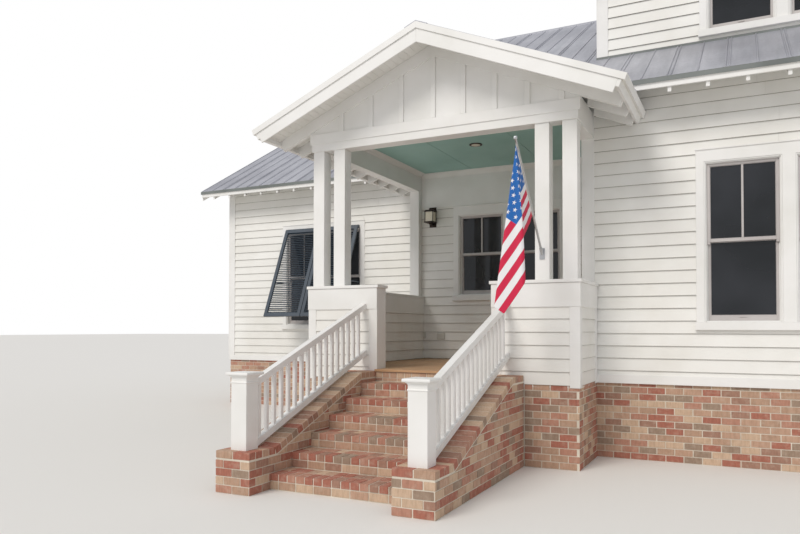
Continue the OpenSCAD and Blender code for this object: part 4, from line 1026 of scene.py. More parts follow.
brickUnit = unitBrick()
faceBricks, cutBricks = cheekFaces()
layBricks("footing_bricks", footingBricks())
layBricks("step_bricks", stepBricks() + cheekCaps() + faceBricks)
makePiece("cut_bricks", cutBricks, [brickSkin], edge=1.5)
bpy.data.objects.remove(brickUnit)
for brickNode in ("foundation", "brick_steps", "cheek_walls"):
    paintNode(brickNode, mortarSkin)
print("bricks laid")


# Crimped metal roofs

crimp = {
    "sheetWidth": 610.0,
    "lapGap": 42.0,
    "rise": 12.0,
    "foot": 26.0,
    "crown": 6.0,
    "capHalf": 140.0,
    "setIn": 20.0,
    "edge": 2.0,
    "verge": 15.0,
    "shortest": 100.0,
    "valleyHalf": 1800.0,
    "valleyGap": 6.0,
    "dormerGap": 25.0,
    "dormerSide": 10.0,
    "dormerHead": 6.0,
    "valleySide": 8.0,
    "eaveClear": 30.0,
    "leastPorch": 60.0,
    "wingClear": 600.0,
    "eaveIn": 12.0,
}
flashing = {
    "side": 20.0,
    "out": 30.0,
    "thick": 10.0,
    "up": 14.0,
}


def crimpProfile():
    # a flat-topped V; the sweep turns the profile's -y to up
    c = crimp
    outline = [(-c["foot"] / 2, 2), (-c["crown"] / 2, -c["rise"]),
               (c["crown"] / 2, -c["rise"]), (c["foot"] / 2, 2)]
    mesh = bpy.data.meshes.new("crimp_profile")
    mesh.from_pydata([(x * mm, y * mm, 0) for x, y in outline], [(0, 1), (1, 2), (2, 3), (3, 0)], [])
    return addObject("crimp_profile", mesh)


def crimpLines(start, end, anchor):
    # where the crimps lie across a slope: a pair at each sheet lap and one midway
    lines = []
    step = crimp["sheetWidth"]
    k = math.floor((start - anchor) / step) - 1
    while anchor + k * step < end + step:
        lap = anchor + k * step
        lines += [lap - crimp["lapGap"] / 2, lap + crimp["lapGap"] / 2, lap + step / 2]
        k += 1
    return [line for line in lines if start + crimp["setIn"] < line < end - crimp["setIn"]]


def valleyY(x):
    # where the porch roof meets the main roof, for a place across the house
    return roof["eaveY"] + max(0, porchZ(x) - roof["eaveZ"]) / roof["pitch"]


def valleyX(y):
    return (roof["porchPeak"] - mainZ(y)) / roof["porchPitch"]


def crimpRuns():
    # each run as two points in the house's millimetres
    r, cap, edge, verge = roof, crimp["capHalf"], crimp["edge"], crimp["verge"]
    runs = []

    def upSlope(x, y0, y1, rise):
        runs.append(((x, y0, rise(y0)), (x, y1, rise(y1))))

    side = crimp["dormerSide"]
    for x in crimpLines(r["left"], r["right"], blockMiddle):
        behindDormer = house["blockX"] - side < x < house["right"] + side
        top = house["dormerY"] - crimp["dormerGap"] if behindDormer else r["ridgeY"] - cap
        foot = valleyY(x) + (crimp["valleyGap"] if abs(x) < crimp["valleyHalf"] else edge)
        if top - foot > crimp["shortest"]:
            upSlope(x, foot, top, mainZ)
        upSlope(x, r["ridgeY"] + cap, r["rearEaveY"] - edge, mainZ)
    for x in crimpLines(r["wingLeft"], house["left"], r["wingLeft"] + verge):
        upSlope(x, r["wingEaveY"] + edge, r["wingRidgeY"] - cap, wingZ)
        if x < r["left"] - verge:
            upSlope(x, r["wingRidgeY"] + cap, r["rearEaveY"] - edge, wingZ)
    for x in crimpLines(r["dormerLeft"], r["dormerRight"], blockMiddle):
        upSlope(x, r["dormerEaveY"] + edge, r["ridgeY"] - crimp["dormerHead"], dormerZ)
    for y in crimpLines(r["porchFront"], valleyY(0), r["porchFront"] + verge):
        pastEave = y >= r["eaveY"] - crimp["eaveClear"]
        outer = valleyX(y) - crimp["valleySide"] if pastEave else r["porchHalf"] - edge
        for turn in (-1, 1):
            if outer > cap + crimp["leastPorch"]:
                runs.append(((turn * outer, y, porchZ(outer)), (turn * cap, y, porchZ(cap))))
    for y in crimpLines(r["eaveY"], house["wingY"] - crimp["wingClear"], r["porchFront"] + verge):
        outer, inner = r["porchHalf"] - edge, crimp["eaveIn"] - r["left"]
        runs.append(((-outer, y, porchZ(outer)), (-inner, y, porchZ(inner))))
    return runs


def roofCrimps():
    runs = crimpRuns()
    points = [at(*end) for run in runs for end in run]
    mesh = bpy.data.meshes.new("crimp_runs")
    mesh.from_pydata(points, [(2 * i, 2 * i + 1) for i in range(len(runs))], [])
    profile = crimpProfile()
    values = {"Profile": profile, "Material": roofMetal}
    grown("roof_crimps", mesh, sweepNodes, sweepNames, values)
    bpy.data.objects.remove(profile)


def roofSide(face):
    # metal on top, paint below, and round the sides a zinc drip edge painted darker as painted shade
    if face.normal.z < -0.3:
        return 1
    return 2 if face.normal.z < 0.3 else 0


roofCrimps()
for roofNode in ("main_roof_front", "main_roof_upper", "main_roof_rear", "wing_roof", "dormer_roof"):
    dress(roofNode, [roofMetal, trimPaint, zincWithPaintedShade], 0, roofSide)
dress("porch_roof", [roofMetal, trimPaint, zincWithPaintedShade], 0,
      lambda face: 1 if face.normal.y < -0.9 else roofSide(face))
# flashing at the foot of the dormer wall, its dark zinc painted shade in the crease
flashingY = house["dormerY"] - flashing["out"]
makePiece("dormer_flashing", [
    block(house["blockX"] - flashing["side"], house["right"] + flashing["side"],
          flashingY, flashingY + flashing["thick"],
          mainZ(flashingY), mainZ(house["dormerY"]) + flashing["up"])], [zincWithPaintedShade])
dress("ridge_caps", [roofMetal], 1.5)
print("roofs sheeted")


# Trim and painted carpentry

for trimNode in ("skirt_boards", "corner_boards", "pedestals", "knee_walls", "pedestal_caps", "columns",
                 "pilaster", "front_beam", "side_beams", "gable_battens", "porch_rake_boards",
                 "porch_rafter_tails", "porch_eave_boards", "eave_rafter_tails", "fascias",
                 "gable_rake_boards", "window_casings", "window_sills", "newels", "left_railing",
                 "right_railing"):
    dress(trimNode, [trimPaint], 3.0)
paintNode("porch_gable_wall", trimPaint)
dress("flagpole", [poleMetal], 0)
paintNode("house_floor", floorPlanks)
paintNode("upper_floor", floorPlanks)


# Boards at the corners, the pedestals, the eaves and the door

boards = {
    "corner": siding["cornerBoard"],
    "thick": 20.0,
    "rafter": 140.0,
    "pedestalInner": 772.0,
    "stile": 120.0,
    "recess": 13.0,
    "recessBack": 14.0,
    "recessFoot": -155.0,
    "recessHead": 770.0,
    "topBoard": 6.0,
    "topFoot": 772.0,
    "topHead": 1048.0,
    "kneeBoard": 22.0,
    "pedestalLine": 633.7,
    "innerLine": 615.8,
    "eaveBoard": 84.0,
    "eaveGap": 5.0,
    "eaveThick": 5.0,
    "eaveEdge": 42.0,
    "porchEave": 40.0,
    "wingEave": 60.0,
    "gableHalf": 1900.0,
    "gableIn": 20.0,
    "frieze": 16.0,
    "headCap": 28.0,
    "doorHead": 4.0,
    "doorEar": 12.0,
}
sidesOfPorch = ((-1, house["backY"]), (1, house["blockY"] - boards["thick"]))


def cornerReturn(x0, x1, y, turn, rise):
    # the board round the corner from the front (turn 1) or the rear (turn -1) face; its top follows the roof
    foot, under = house["skirtTop"], roof["sheet"] + roof["clear"]
    out, inner = y - turn * boards["thick"], y + turn * boards["corner"]
    notch = rise(out) - under - boards["rafter"]
    outline = [(out, foot), (inner, foot), (inner, rise(inner) - under), (y, rise(y) - under),
               (y, notch), (out, notch)]
    return drawn(outline, sideways, x0, x1, chance.random())


def cornerReturns():
    t, w, under = boards["thick"], boards["corner"], roof["sheet"] + roof["clear"]
    b, r, wl = house["blockX"], house["right"], house["wingLeft"]
    by, dy, ry, wy = house["blockY"], house["dormerY"], house["rearY"], house["wingY"]
    parts = [
        block(b - t, b, by - t, by + w, 0, house["ceiling"]),
        cornerReturn(r, r + t, by, 1, mainZ),
        cornerReturn(r, r + t, ry, -1, mainZ),
        cornerReturn(wl - t, wl, wy, 1, wingZ),
        cornerReturn(wl - t, wl, ry, -1, wingZ),
    ]
    rearHead = mainZ(ry + t) - roof["sheet"] - boards["rafter"]
    for x in (wl, r - w):
        parts.append(block(x, x + w, ry, ry + t, house["skirtTop"], rearHead))
    for x0, x1 in ((b - t, b), (r, r + t)):
        outline = [(dy, mainZ(dy)), (dy + w, mainZ(dy + w)), (dy + w, dormerZ(dy + w) - under),
                   (dy, dormerZ(dy) - under)]
        parts.append(drawn(outline, sideways, x0, x1, chance.random()))
    return parts


def porchFrieze():
    # the plain board at the head of the porch walls, and the cove that meets the ceiling
    foot, head, thick = siding["friezeFoot"], house["ceiling"] - 4, boards["frieze"]
    left, b, wall, by = house["pilaster"], house["blockX"], house["backY"], house["blockY"] + boards["corner"]
    # the cove as (out from the wall, down from its head)
    cove = [(15, 92), (22, 92), (30, 70), (62, 24), (66, 14), (66, 0), (15, 0)]
    return [
        block(left, b, wall - thick, wall - 0.2, foot, head, 0.4),
        block(b - thick, b - 0.2, by, wall, foot, head, 0.6),
        drawn([(wall - out, head - down) for out, down in cove], sideways, left, b),
        drawn([(b - out, head - down) for out, down in cove], frontwards, by, wall),
    ]


def dripCaps():
    # a thin cap over each head casing
    parts = []
    for windows in groupedWindows + singleWindows:
        turned = facing(*windows[0][4:])
        for a, b, foot, head in windowHoles(windows):
            parts.append(panel(turned, a - 4, b + 4, head - 14, head + 3, 4, 4 + boards["headCap"]))
    return parts


def doorCasing():
    wide, head, x = door["casing"], door["height"], house["blockX"]
    thick, ear = boards["thick"], boards["doorEar"]
    y0, y1 = door["middle"] - door["width"] / 2, door["middle"] + door["width"] / 2
    return [
        block(x - thick, x, y0 - wide, y0, 0, head, 0.3),
        block(x - thick, x, y1, y1 + wide, 0, head, 0.6),
        block(x - thick - boards["doorHead"], x, y0 - wide - ear, y1 + wide + ear, head, head + wide),
    ]


def pedestalBoards():
    # the broad board under the cap stands a little proud and throws the line of shadow above the siding
    o, i, t = house["pedestalOuter"], boards["pedestalInner"], boards["topBoard"]
    z0, z1 = boards["topFoot"], boards["topHead"]
    parts = []
    for side, y1 in sidesOfPorch:
        parts.append(block(*sorted((side * i, side * (o + t))), -t, 0, z0, z1))
        parts.append(block(*sorted((side * o, side * (o + t))), 0, y1, z0, z1))
    # the same board on the porch side of the left knee wall
    x = house["kneeInner"]
    parts.append(block(x, x + boards["kneeBoard"], house["pedestalBack"], house["backY"], z0, z1, 0.4))
    return parts


def eaveBoards(x0, x1, y0, y1, rise, drop, alongX=True):
    # narrow boards nailed under a sloping eave, with an open joint at every edge
    start, end, turned, run = (y0, y1, sideways, (x0, x1)) if alongX else (x0, x1, frontwards, (y0, y1))
    thick = boards["eaveThick"]
    parts = []
    while start < end - 20:
        stop = min(start + boards["eaveBoard"], end)
        corners = ((start, thick), (stop, thick), (stop, 0.3), (start, 0.3))
        outline = [(u, rise(u) - drop - deep) for u, deep in corners]
        parts.append(drawn(outline, turned, *run, chance.random()))
        start += boards["eaveBoard"] + boards["eaveGap"]
    return parts


def allEaveBoards():
    under, edge, inside, gable = roof["sheet"], boards["eaveEdge"], boards["gableHalf"], boards["gableIn"]
    half, front = roof["porchHalf"] - edge, roof["porchFront"] + edge
    parts = eaveBoards(roof["porchHalf"] + boards["porchEave"], roof["right"] - edge,
                       roof["eaveY"] + edge, house["blockY"], mainZ, under)
    parts += eaveBoards(roof["wingLeft"] + edge, house["left"] - boards["wingEave"],
                        roof["wingEaveY"] + edge, house["wingY"], wingZ, under)
    parts += eaveBoards(roof["dormerLeft"] + edge, roof["dormerRight"] - edge,
                        roof["dormerEaveY"] + edge, house["dormerY"], dormerZ, under)
    for x0, x1, y1 in ((-half, -inside, house["backY"]), (-inside, 0, gable), (0, inside, gable),
                       (inside, half, house["blockY"] - 30)):
        parts += eaveBoards(x0, x1, front, y1, porchZ, roof["porchDeck"], False)
    return parts


def recessSiding():
    # lap boards in the sunk fields of the pedestals and knee walls
    o, i, s, back = house["pedestalOuter"], boards["pedestalInner"], boards["stile"], boards["recessBack"]
    deep, z0, z1, line = boards["recess"], boards["recessFoot"], boards["recessHead"], boards["pedestalLine"]
    parts = []
    for side, y1 in sidesOfPorch:
        x0, x1 = sorted((side * (i + s), side * (o - s)))
        parts += lapBoards(level(x0, x1, z0, z1), [], facing("front", back), deep, line)
        wall = facing("left" if side < 0 else "right", side * (o - back))
        parts += lapBoards(level(s, y1 - s, z0, z1), [], wall, deep, line)
    inner = level(house["pedestalBack"], house["backY"], 0, z1)
    parts += lapBoards(inner, [], facing("right", house["kneeInner"]), deep, boards["innerLine"])
    return parts


wallBoards = cornerReturns() + porchFrieze() + dripCaps() + doorCasing() + pedestalBoards()
makePiece("boards_on_walls", wallBoards, [trimPaint], edge=2)
makePiece("eave_boards", allEaveBoards(), [eavePaint])
makePiece("recess_siding", recessSiding(), [sidingPaint, paintedLapShade])
print("boards nailed")


# Windows

window = {
    "jamb": 25.0,
    "depth": 115.0,
    "stile": 37.0,
    "topRail": 31.0,
    "meetingRail": 36.0,
    "bottomRail": 63.0,
    "glazingBead": 6.0,
    "muntin": 24.0,
    "upperOut": -28.0,
    "lowerOut": -64.0,
    "sashThick": 35.0,
    "pane": (13.0, 17.0),
    "step": 13.0,
    "stool": 20.0,
    "partingBead": 12.0,
    "partingOut": -46.0,
    "horn": 26.0,
    "liftHalf": 38.0,
    "liftUp": (62.0, 74.0),
}


def sash(turned, a0, a1, z0, z1, out, lowRail, topRail, muntin):
    s, b, inner = window["stile"], window["glazingBead"], out - window["sashThick"]
    left, right, foot, head = a0 + s, a1 - s, z0 + lowRail, z1 - topRail
    parts = [
        panel(turned, a0, left, z0, z1, inner, out),
        panel(turned, right, a1, z0, z1, inner, out),
        panel(turned, left, right, z0, foot, inner, out - 1),
        panel(turned, left, right, head, z1, inner, out - 1),
    ]
    # glazing beads, stepped back from the face
    for bead in ((left, left + b, foot, head), (right - b, right, foot, head),
                 (left, right, foot, foot + b), (left, right, head - b, head)):
        parts.append(panel(turned, *bead, inner + 4, out - 8))
    if muntin:
        middle = (a0 + a1) / 2
        parts.append(panel(turned, middle - muntin / 2, middle + muntin / 2, foot, head, inner + 2, out - 4))
    near, far = window["pane"]
    return parts, panel(turned, left, right, foot, head, inner + near, inner + far)


def windowUnit(opening):
    # a double-hung window as its frame, its two sashes and their panes
    middle, sill, width, height, side, wall = opening
    turned = facing(side, wall)
    w = window
    a0, a1, z1 = middle - width / 2, middle + width / 2, sill + height
    j, b, deep, stool, rail = w["jamb"], w["step"], -w["depth"], sill + w["stool"], w["meetingRail"]
    left, right = a0 + j, a1 - j
    meetFoot = sill + height * openings["meeting"] - rail / 2
    meetHead = meetFoot + rail
    frames = [
        panel(turned, a0, left, sill, z1, deep, -4),
        panel(turned, right, a1, sill, z1, deep, -4),
        panel(turned, left, right, z1 - j, z1, deep, -4),
        panel(turned, left, right, sill, stool, deep, 4),
        # the moulding inside the casing steps back towards the sash
        panel(turned, a0, a0 + b, sill, z1, -5, 13),
        panel(turned, a1 - b, a1, sill, z1, -5, 13),
        panel(turned, a0 + b, a1 - b, z1 - b, z1, -5, 13),
    ]
    # parting beads between the two sashes' tracks
    for edge0, edge1 in ((left, left + w["partingBead"]), (right - w["partingBead"], right)):
        frames.append(panel(turned, edge0, edge1, stool, meetFoot + 2, deep, w["partingOut"]))
    upper, upperPane = sash(turned, left, right, meetFoot, z1 - j, w["upperOut"],
                            rail, w["topRail"], w["muntin"])
    lower, lowerPane = sash(turned, left, right, stool, meetHead, w["lowerOut"], w["bottomRail"], rail, 0)
    # horns under the upper sash's stiles and a lift on the lower sash
    for edge0, edge1 in ((left, left + w["stile"]), (right - w["stile"], right)):
        upper.append(panel(turned, edge0, edge1, meetFoot - w["horn"], meetFoot,
                           w["upperOut"] - w["sashThick"], w["upperOut"]))
    liftFoot, liftHead = w["liftUp"]
    lower.append(panel(turned, middle - w["liftHalf"], middle + w["liftHalf"],
                       sill + liftFoot, sill + liftHead, w["lowerOut"] - 4, w["lowerOut"] + 10))
    return frames, upper + lower, [upperPane, lowerPane]


frameParts, sashParts, paneParts = [], [], []
for opening in sum(groupedWindows + singleWindows, []):
    frames, sashes, panes = windowUnit(opening)
    frameParts += frames
    sashParts += sashes
    paneParts += panes
makePiece("window_frames", frameParts, [trimPaint], edge=2)
makePiece("window_sash_bars", sashParts, [sashPaint], ("window_sashes",), edge=2)
makePiece("window_panes", paneParts, [paneGlass], ("window_glass",))
print("windows glazed")


# Wing shutters

shutter = {
    "length": 1930.0,
    "lean": 22.5,
    "thick": 35.0,
    "bar": 70.0,
    "blades": 44,
    "blade": 47.0,
    "bladeThick": 7.0,
    "bladeSlope": 45.0,
    "gap": 12.0,
    "headerOver": 6.0,
    "headerHeight": 56.0,
    "headerDepth": 40.0,
    "hingeIn": 30.0,
    "hingeUp": 30.0,
    "tenon": 8.0,
    "stay": 16.0,
    "stayIn": 4.0,
    "stayNose": 10.0,
    "stayHeight": 25.0,
    "stayShare": 0.62,
}
shutterFace = yOf(high("wing_shutters").y)
shutterHead = openings["tallSill"] + openings["tallHeight"]


def leaning(down, out):
    # a place on a propped shutter: down from its hinge and out towards the street
    lean = math.radians(shutter["lean"])
    y = shutterFace - shutter["hingeIn"] - out * math.cos(lean) - down * math.sin(lean)
    z = shutterHead + shutter["hingeUp"] + out * math.sin(lean) - down * math.cos(lean)
    return y, z


def leaningBar(x0, x1, corners):
    return drawn([leaning(*corner) for corner in corners], sideways, x0, x1, chance.random())


def proppedShutter(x0, x1):
    size, thick, bar, tenon = shutter["length"], shutter["thick"], shutter["bar"], shutter["tenon"]
    parts = [
        leaningBar(x0, x0 + bar, level(0, size, 0, thick)),
        leaningBar(x1 - bar, x1, level(0, size, 0, thick)),
        leaningBar(x0 + bar, x1 - bar, level(0, bar, 1, thick - 1)),
        leaningBar(x0 + bar, x1 - bar, level(size - bar, size, 1, thick - 1)),
    ]
    slope = math.radians(shutter["bladeSlope"])
    pitch = (size - 2 * bar) / shutter["blades"]
    for i in range(shutter["blades"]):
        middle = bar + (i + 0.5) * pitch
        corners = []
        for a, b in ((-1, -1), (1, -1), (1, 1), (-1, 1)):
            wide, deep = a * shutter["blade"] / 2, b * shutter["bladeThick"] / 2
            corners.append((middle + wide * math.sin(slope) + deep * math.cos(slope),
                            thick / 2 + wide * math.cos(slope) - deep * math.sin(slope)))
        parts.append(leaningBar(x0 + bar - tenon, x1 - bar + tenon, corners))
    return parts


def wingShutters():
    over = shutter["headerOver"]
    x0, x1 = xOf(low("wing_shutters").x) + over, xOf(high("wing_shutters").x) - over
    width = (x1 - x0 - shutter["gap"]) / 2
    stayY, stayZ = leaning(shutter["stayShare"] * shutter["length"], 0)
    head, wide, setIn = shutterHead, shutter["stay"], shutter["stayIn"]
    parts = [block(x0 - over, x1 + over, shutterFace - shutter["headerDepth"], shutterFace - 0.2,
                   head, head + shutter["headerHeight"], 0.4)]
    for start in (x0, x1 - width):
        parts += proppedShutter(start, start + width)
        for x in (start + setIn, start + width - wide - setIn):
            parts.append(block(x, x + wide, stayY - shutter["stayNose"], shutterFace,
                               stayZ, stayZ + shutter["stayHeight"]))
    return parts


makePiece("wing_shutter_blades", wingShutters(), [shutterPaint], ("wing_shutters",), edge=1)
print("shutters propped")


# Door, lantern and small fittings

def doorSlab():
    slab = house["blockX"] + door["setBack"]
    face = at(slab, 0, 0).x - 2 * mm
    dress("front_door", [doorWood, lanternMetal], 2.0, lambda part: int(part.center.x < face))
    half, y, bar = door["width"] / 2 - door["stile"], door["middle"], door["bar"] / 2
    z1 = door["height"] - door["stile"]
    z0 = z1 - door["lightHeight"]
    light = block(slab + 6, slab + 10, y - half, y + half, z0, z1)
    makePiece("door_light", [light], [paneGlass])
    bars = [block(slab + 1, slab + 12, y + a - bar, y + a + bar, z0, z1, 0.4) for a in (-half / 3, half / 3)]
    makePiece("door_light_bars", bars, [doorWood], edge=1.5)


lantern = {
    "x": -1400.0,
    "out": 205.0,
    "foot": 2290.0,
    "plate": 350.0,
    "plateHalf": 65.0,
    "plateThick": 17.0,
    "trayHalf": 85.0,
    "trayHeight": 20.0,
    "armHalf": 22.0,
    "armFeet": (290.0, 37.0),
    "armHeight": 26.0,
    "armIn": 62.0,
    "body": 156.0,
    "post": 10.0,
    "bodyFoot": 85.0,
    "bodyHead": 262.0,
    "hatWidth": 190.0,
    "hatShare": 0.63,
    "hatHeight": 26.0,
    "paneIn": 9.0,
}


def wallLantern():
    x, z, half, post = lantern["x"], lantern["foot"], lantern["body"] / 2, lantern["post"]
    plate, tray, arm, inset = lantern["plateHalf"], lantern["trayHalf"], lantern["armHalf"], lantern["paneIn"]
    wall, foot, head = house["backY"], z + lantern["bodyFoot"], z + lantern["bodyHead"]
    y0 = wall - lantern["out"]
    y1 = y0 + 2 * half
    metal = [
        block(x - plate, x + plate, wall - lantern["plateThick"], wall - 0.3, z, z + lantern["plate"]),
        block(x - tray, x + tray, y0 - 7, y1 + 8, foot - lantern["trayHeight"], foot),
    ]
    for up in lantern["armFeet"]:
        metal.append(block(x - arm, x + arm, y0 + lantern["armIn"], wall - 16,
                           z + up, z + up + lantern["armHeight"]))
    metal.append(block(x - half, x + half, y0, y1, head - post, head))
    for a in (x - half, x + half - post):
        for b in (y0, y1 - post):
            metal.append(block(a, a + post, b, b + post, foot, head))
    wide = lantern["hatWidth"] / 2
    hat = ((wide, head), (wide * lantern["hatShare"], head + lantern["hatHeight"]))
    rings = [[at(x + a * reach, y0 + half + b * reach, up) for a, b in ((-1, -1), (1, -1), (1, 1), (-1, 1))]
             for reach, up in hat]
    metal.append(solid(*rings))
    makePiece("lantern_cage", metal, [lanternMetal], ("wall_lantern",), edge=1)
    glass = [block(x - half + inset, x + half - inset, y0 + inset, y1 - inset, foot + 1, head - post)]
    makePiece("lantern_panes", glass, [lanternGlass])


fittings = {
    "lensRadius": 66.0,
    "lensSides": 32,
    "outletOut": 14.0,
    "outletThick": 12.0,
    "smallOutlet": (-1604.0, -1534.0, 352.0, 468.0),
    "doubleOutlet": (-1321.0, -1174.0, 332.0, 448.0),
}


def ceilingLens():
    # the cream lens inside the light's dark rim
    spot = (low("ceiling_light") + high("ceiling_light")) / 2
    x, y, z = xOf(spot.x), yOf(spot.y), zOf(low("ceiling_light").z)
    reach, sides = fittings["lensRadius"], fittings["lensSides"]
    turns = [math.radians(360 * i / sides) for i in range(sides)]
    disc = [(x + reach * math.cos(turn), y + reach * math.sin(turn)) for turn in turns]
    makePiece("ceiling_lens", [drawn(disc, upwards, z - 4, z + 2)], [lanternGlass], edge=1.5)


def outletCovers():
    wall = house["backY"] - fittings["outletOut"]
    parts = []
    for name, tone in (("smallOutlet", 0.4), ("doubleOutlet", 0.6)):
        x0, x1, z0, z1 = fittings[name]
        parts.append(block(x0, x1, wall - fittings["outletThick"], wall, z0, z1, tone))
    makePiece("outlet_covers", parts, [socketPlastic], edge=3)


doorSlab()
wallLantern()
dress("ceiling_light", [lanternMetal], 1)
ceilingLens()
outletCovers()
print("fittings hung")


# Porch boards

porch = {
    "floorBoard": 86.0,
    "floorGap": 3.0,
    "noseBoard": 90.0,
    "floorThick": 30.0,
    "leastBoard": 4.0,
    "panelWidth": 1216.0,
    "panelJoint": -665.0,
    "panelGap": 12.0,
    "panelFront": 106.0,
    "leastPanel": 60.0,
    "wall": 160.0,
    "left": xOf(low("porch_floor").x),
    "right": xOf(high("porch_floor").x),
    "nose": yOf(low("porch_floor").y),
}


def porchFloor():
    # boards along X, with a nosing board at the front edge
    stairHalf, back, foot = boards["pedestalInner"], house["pedestalBack"], -porch["floorThick"]
    left, right, y = porch["left"], porch["right"], porch["nose"]
    parts = [block(-stairHalf, stairHalf, y, y + porch["noseBoard"], foot, 0, 0.0)]
    y += porch["noseBoard"] + porch["floorGap"]
    while y < house["backY"] - porch["leastBoard"]:
        y1 = min(y + porch["floorBoard"], house["backY"])
        tone = chance.random()
        # between the pedestals the boards are as wide as the steps
        if y < back:
            parts.append(block(-stairHalf, stairHalf, y, min(y1, back), foot, -0.5, tone))
        if y1 > back:
            parts.append(block(left, right, max(y, back), y1, foot, -0.5, tone))
        y += porch["floorBoard"] + porch["floorGap"]
    return parts


def porchCeilingPanels():
    # sheets side by side, with open joints that show the backing above them, given a darker tone as painted
    # shade in the joints
    c, x0, x1 = house["ceiling"], house["left"] + porch["wall"], house["blockX"]
    y0, y1, gap, least = porch["panelFront"], house["backY"], porch["panelGap"] / 2, porch["leastPanel"]
    joints = [porch["panelJoint"] + k * porch["panelWidth"] for k in range(-1, 3)]
    edges = [x0] + [joint for joint in joints if x0 + least < joint < x1 - least] + [x1]
    parts = []
    for a, b in zip(edges, edges[1:]):
        parts.append(block(a + gap, b - gap, y0, y1, c - 4, c + 25, chance.random()))
    # the backing's high tone paints shade into the joints
    parts.append(block(x0, x1, y0, y1, c, c + 24, 0.9))
    return parts


makePiece("porch_floor_boards", porchFloor(), [porchPlanks], ("porch_floor",), edge=1.5)
makePiece("porch_ceiling_panels", porchCeilingPanels(), [ceilingPaint], ("porch_ceiling",))
print("porch boarded")


# Flag

flag = {
    "hoist": 914.0,
    "fly": 1524.0,
    "mesh": 15.0,
    "thick": 0.9,
    "poleFootY": 56.0,
    "poleFootZ": 1388.0,
    "poleSlope": 46.5,
    "poleLength": 1524.0,
    "tipGap": 40.0,
    "facing": 16.8,
    "folds": ((-2.5, 4.0), (4.8, -3.0), (-9.5, -1.5), (-1.0, 0.8),
              (-7.5, 2.3), (-3.5, 3.8), (-7.0, 5.5), (-5.0, 6.5)),
    "foldRound": 5,
    "frames": 24,
    "canton": (0.456, 6 / 13),
    "star": 28.0,
    "heading": 26.0,
    "red": "#cf0f42",
    "white": "#eceaec",
    "blue": "#0a62b0",
}
flagX = (xOf(low("flagpole").x) + xOf(high("flagpole").x)) / 2
poleAngle = math.radians(flag["poleSlope"])


def poleSpot(along, under=0.0):
    # a place on the pole, under is how far below its middle line
    y = flag["poleFootY"] - along * math.cos(poleAngle) - under * math.sin(poleAngle)
    z = flag["poleFootZ"] + along * math.sin(poleAngle) - under * math.cos(poleAngle)
    return y, z


def starMask(tree, grid, shift):
    # 1 inside five-pointed stars that stand two units apart both ways; shift moves them all by so many units
    moved = addNode(tree, "ShaderNodeVectorMath", {0: grid, 1: (shift, shift, 0)}, operation="ADD")
    place = addNode(tree, "ShaderNodeVectorMath", {0: moved, 1: (1, 1, 0), 2: (-1, -1, 0)}, operation="WRAP")
    parts = addNode(tree, "ShaderNodeSeparateXYZ", {0: place}).outputs
    turn = addNode(tree, "ShaderNodeMath", {0: parts["X"], 1: parts["Y"]}, operation="ARCTAN2")
    folded = addNode(tree, "ShaderNodeMath", {0: turn, 1: math.radians(36)}, operation="PINGPONG")
    lean = addNode(tree, "ShaderNodeMath", {0: folded, 1: math.radians(72)}, operation="SUBTRACT")
    share = addNode(tree, "ShaderNodeMath", {0: lean}, operation="COSINE")
    size = addNode(tree, "ShaderNodeVectorMath", {0: place}, operation="LENGTH")
    reach = addNode(tree, "ShaderNodeMath", {0: size, 1: share}, operation="MULTIPLY")
    # the edges of a star whose points reach 1 pass its middle at the cosine of 72 degrees
    edge = math.cos(math.radians(72)) * flag["star"] / (flag["fly"] * flag["canton"][0] / 12)
    return addNode(tree, "ShaderNodeMath", {0: reach, 1: edge}, operation="LESS_THAN")


def inside(tree, place, least, most):
    # 1 where the first two parts of place lie between two corners
    middle = [(a + b) / 2 for a, b in zip(least, most)]
    half = [(b - a) / 2 for a, b in zip(least, most)]
    off = addNode(tree, "ShaderNodeVectorMath", {0: place, 1: (*middle, 0)}, operation="SUBTRACT")
    share = addNode(tree, "ShaderNodeVectorMath", {0: off, 1: (*half, 1)}, operation="DIVIDE")
    size = addNode(tree, "ShaderNodeVectorMath", {0: share}, operation="ABSOLUTE")
    parts = addNode(tree, "ShaderNodeSeparateXYZ", {0: size}).outputs
    larger = addNode(tree, "ShaderNodeMath", {0: parts["X"], 1: parts["Y"]}, operation="MAXIMUM")
    return addNode(tree, "ShaderNodeMath", {0: larger, 1: 1.0}, operation="LESS_THAN")


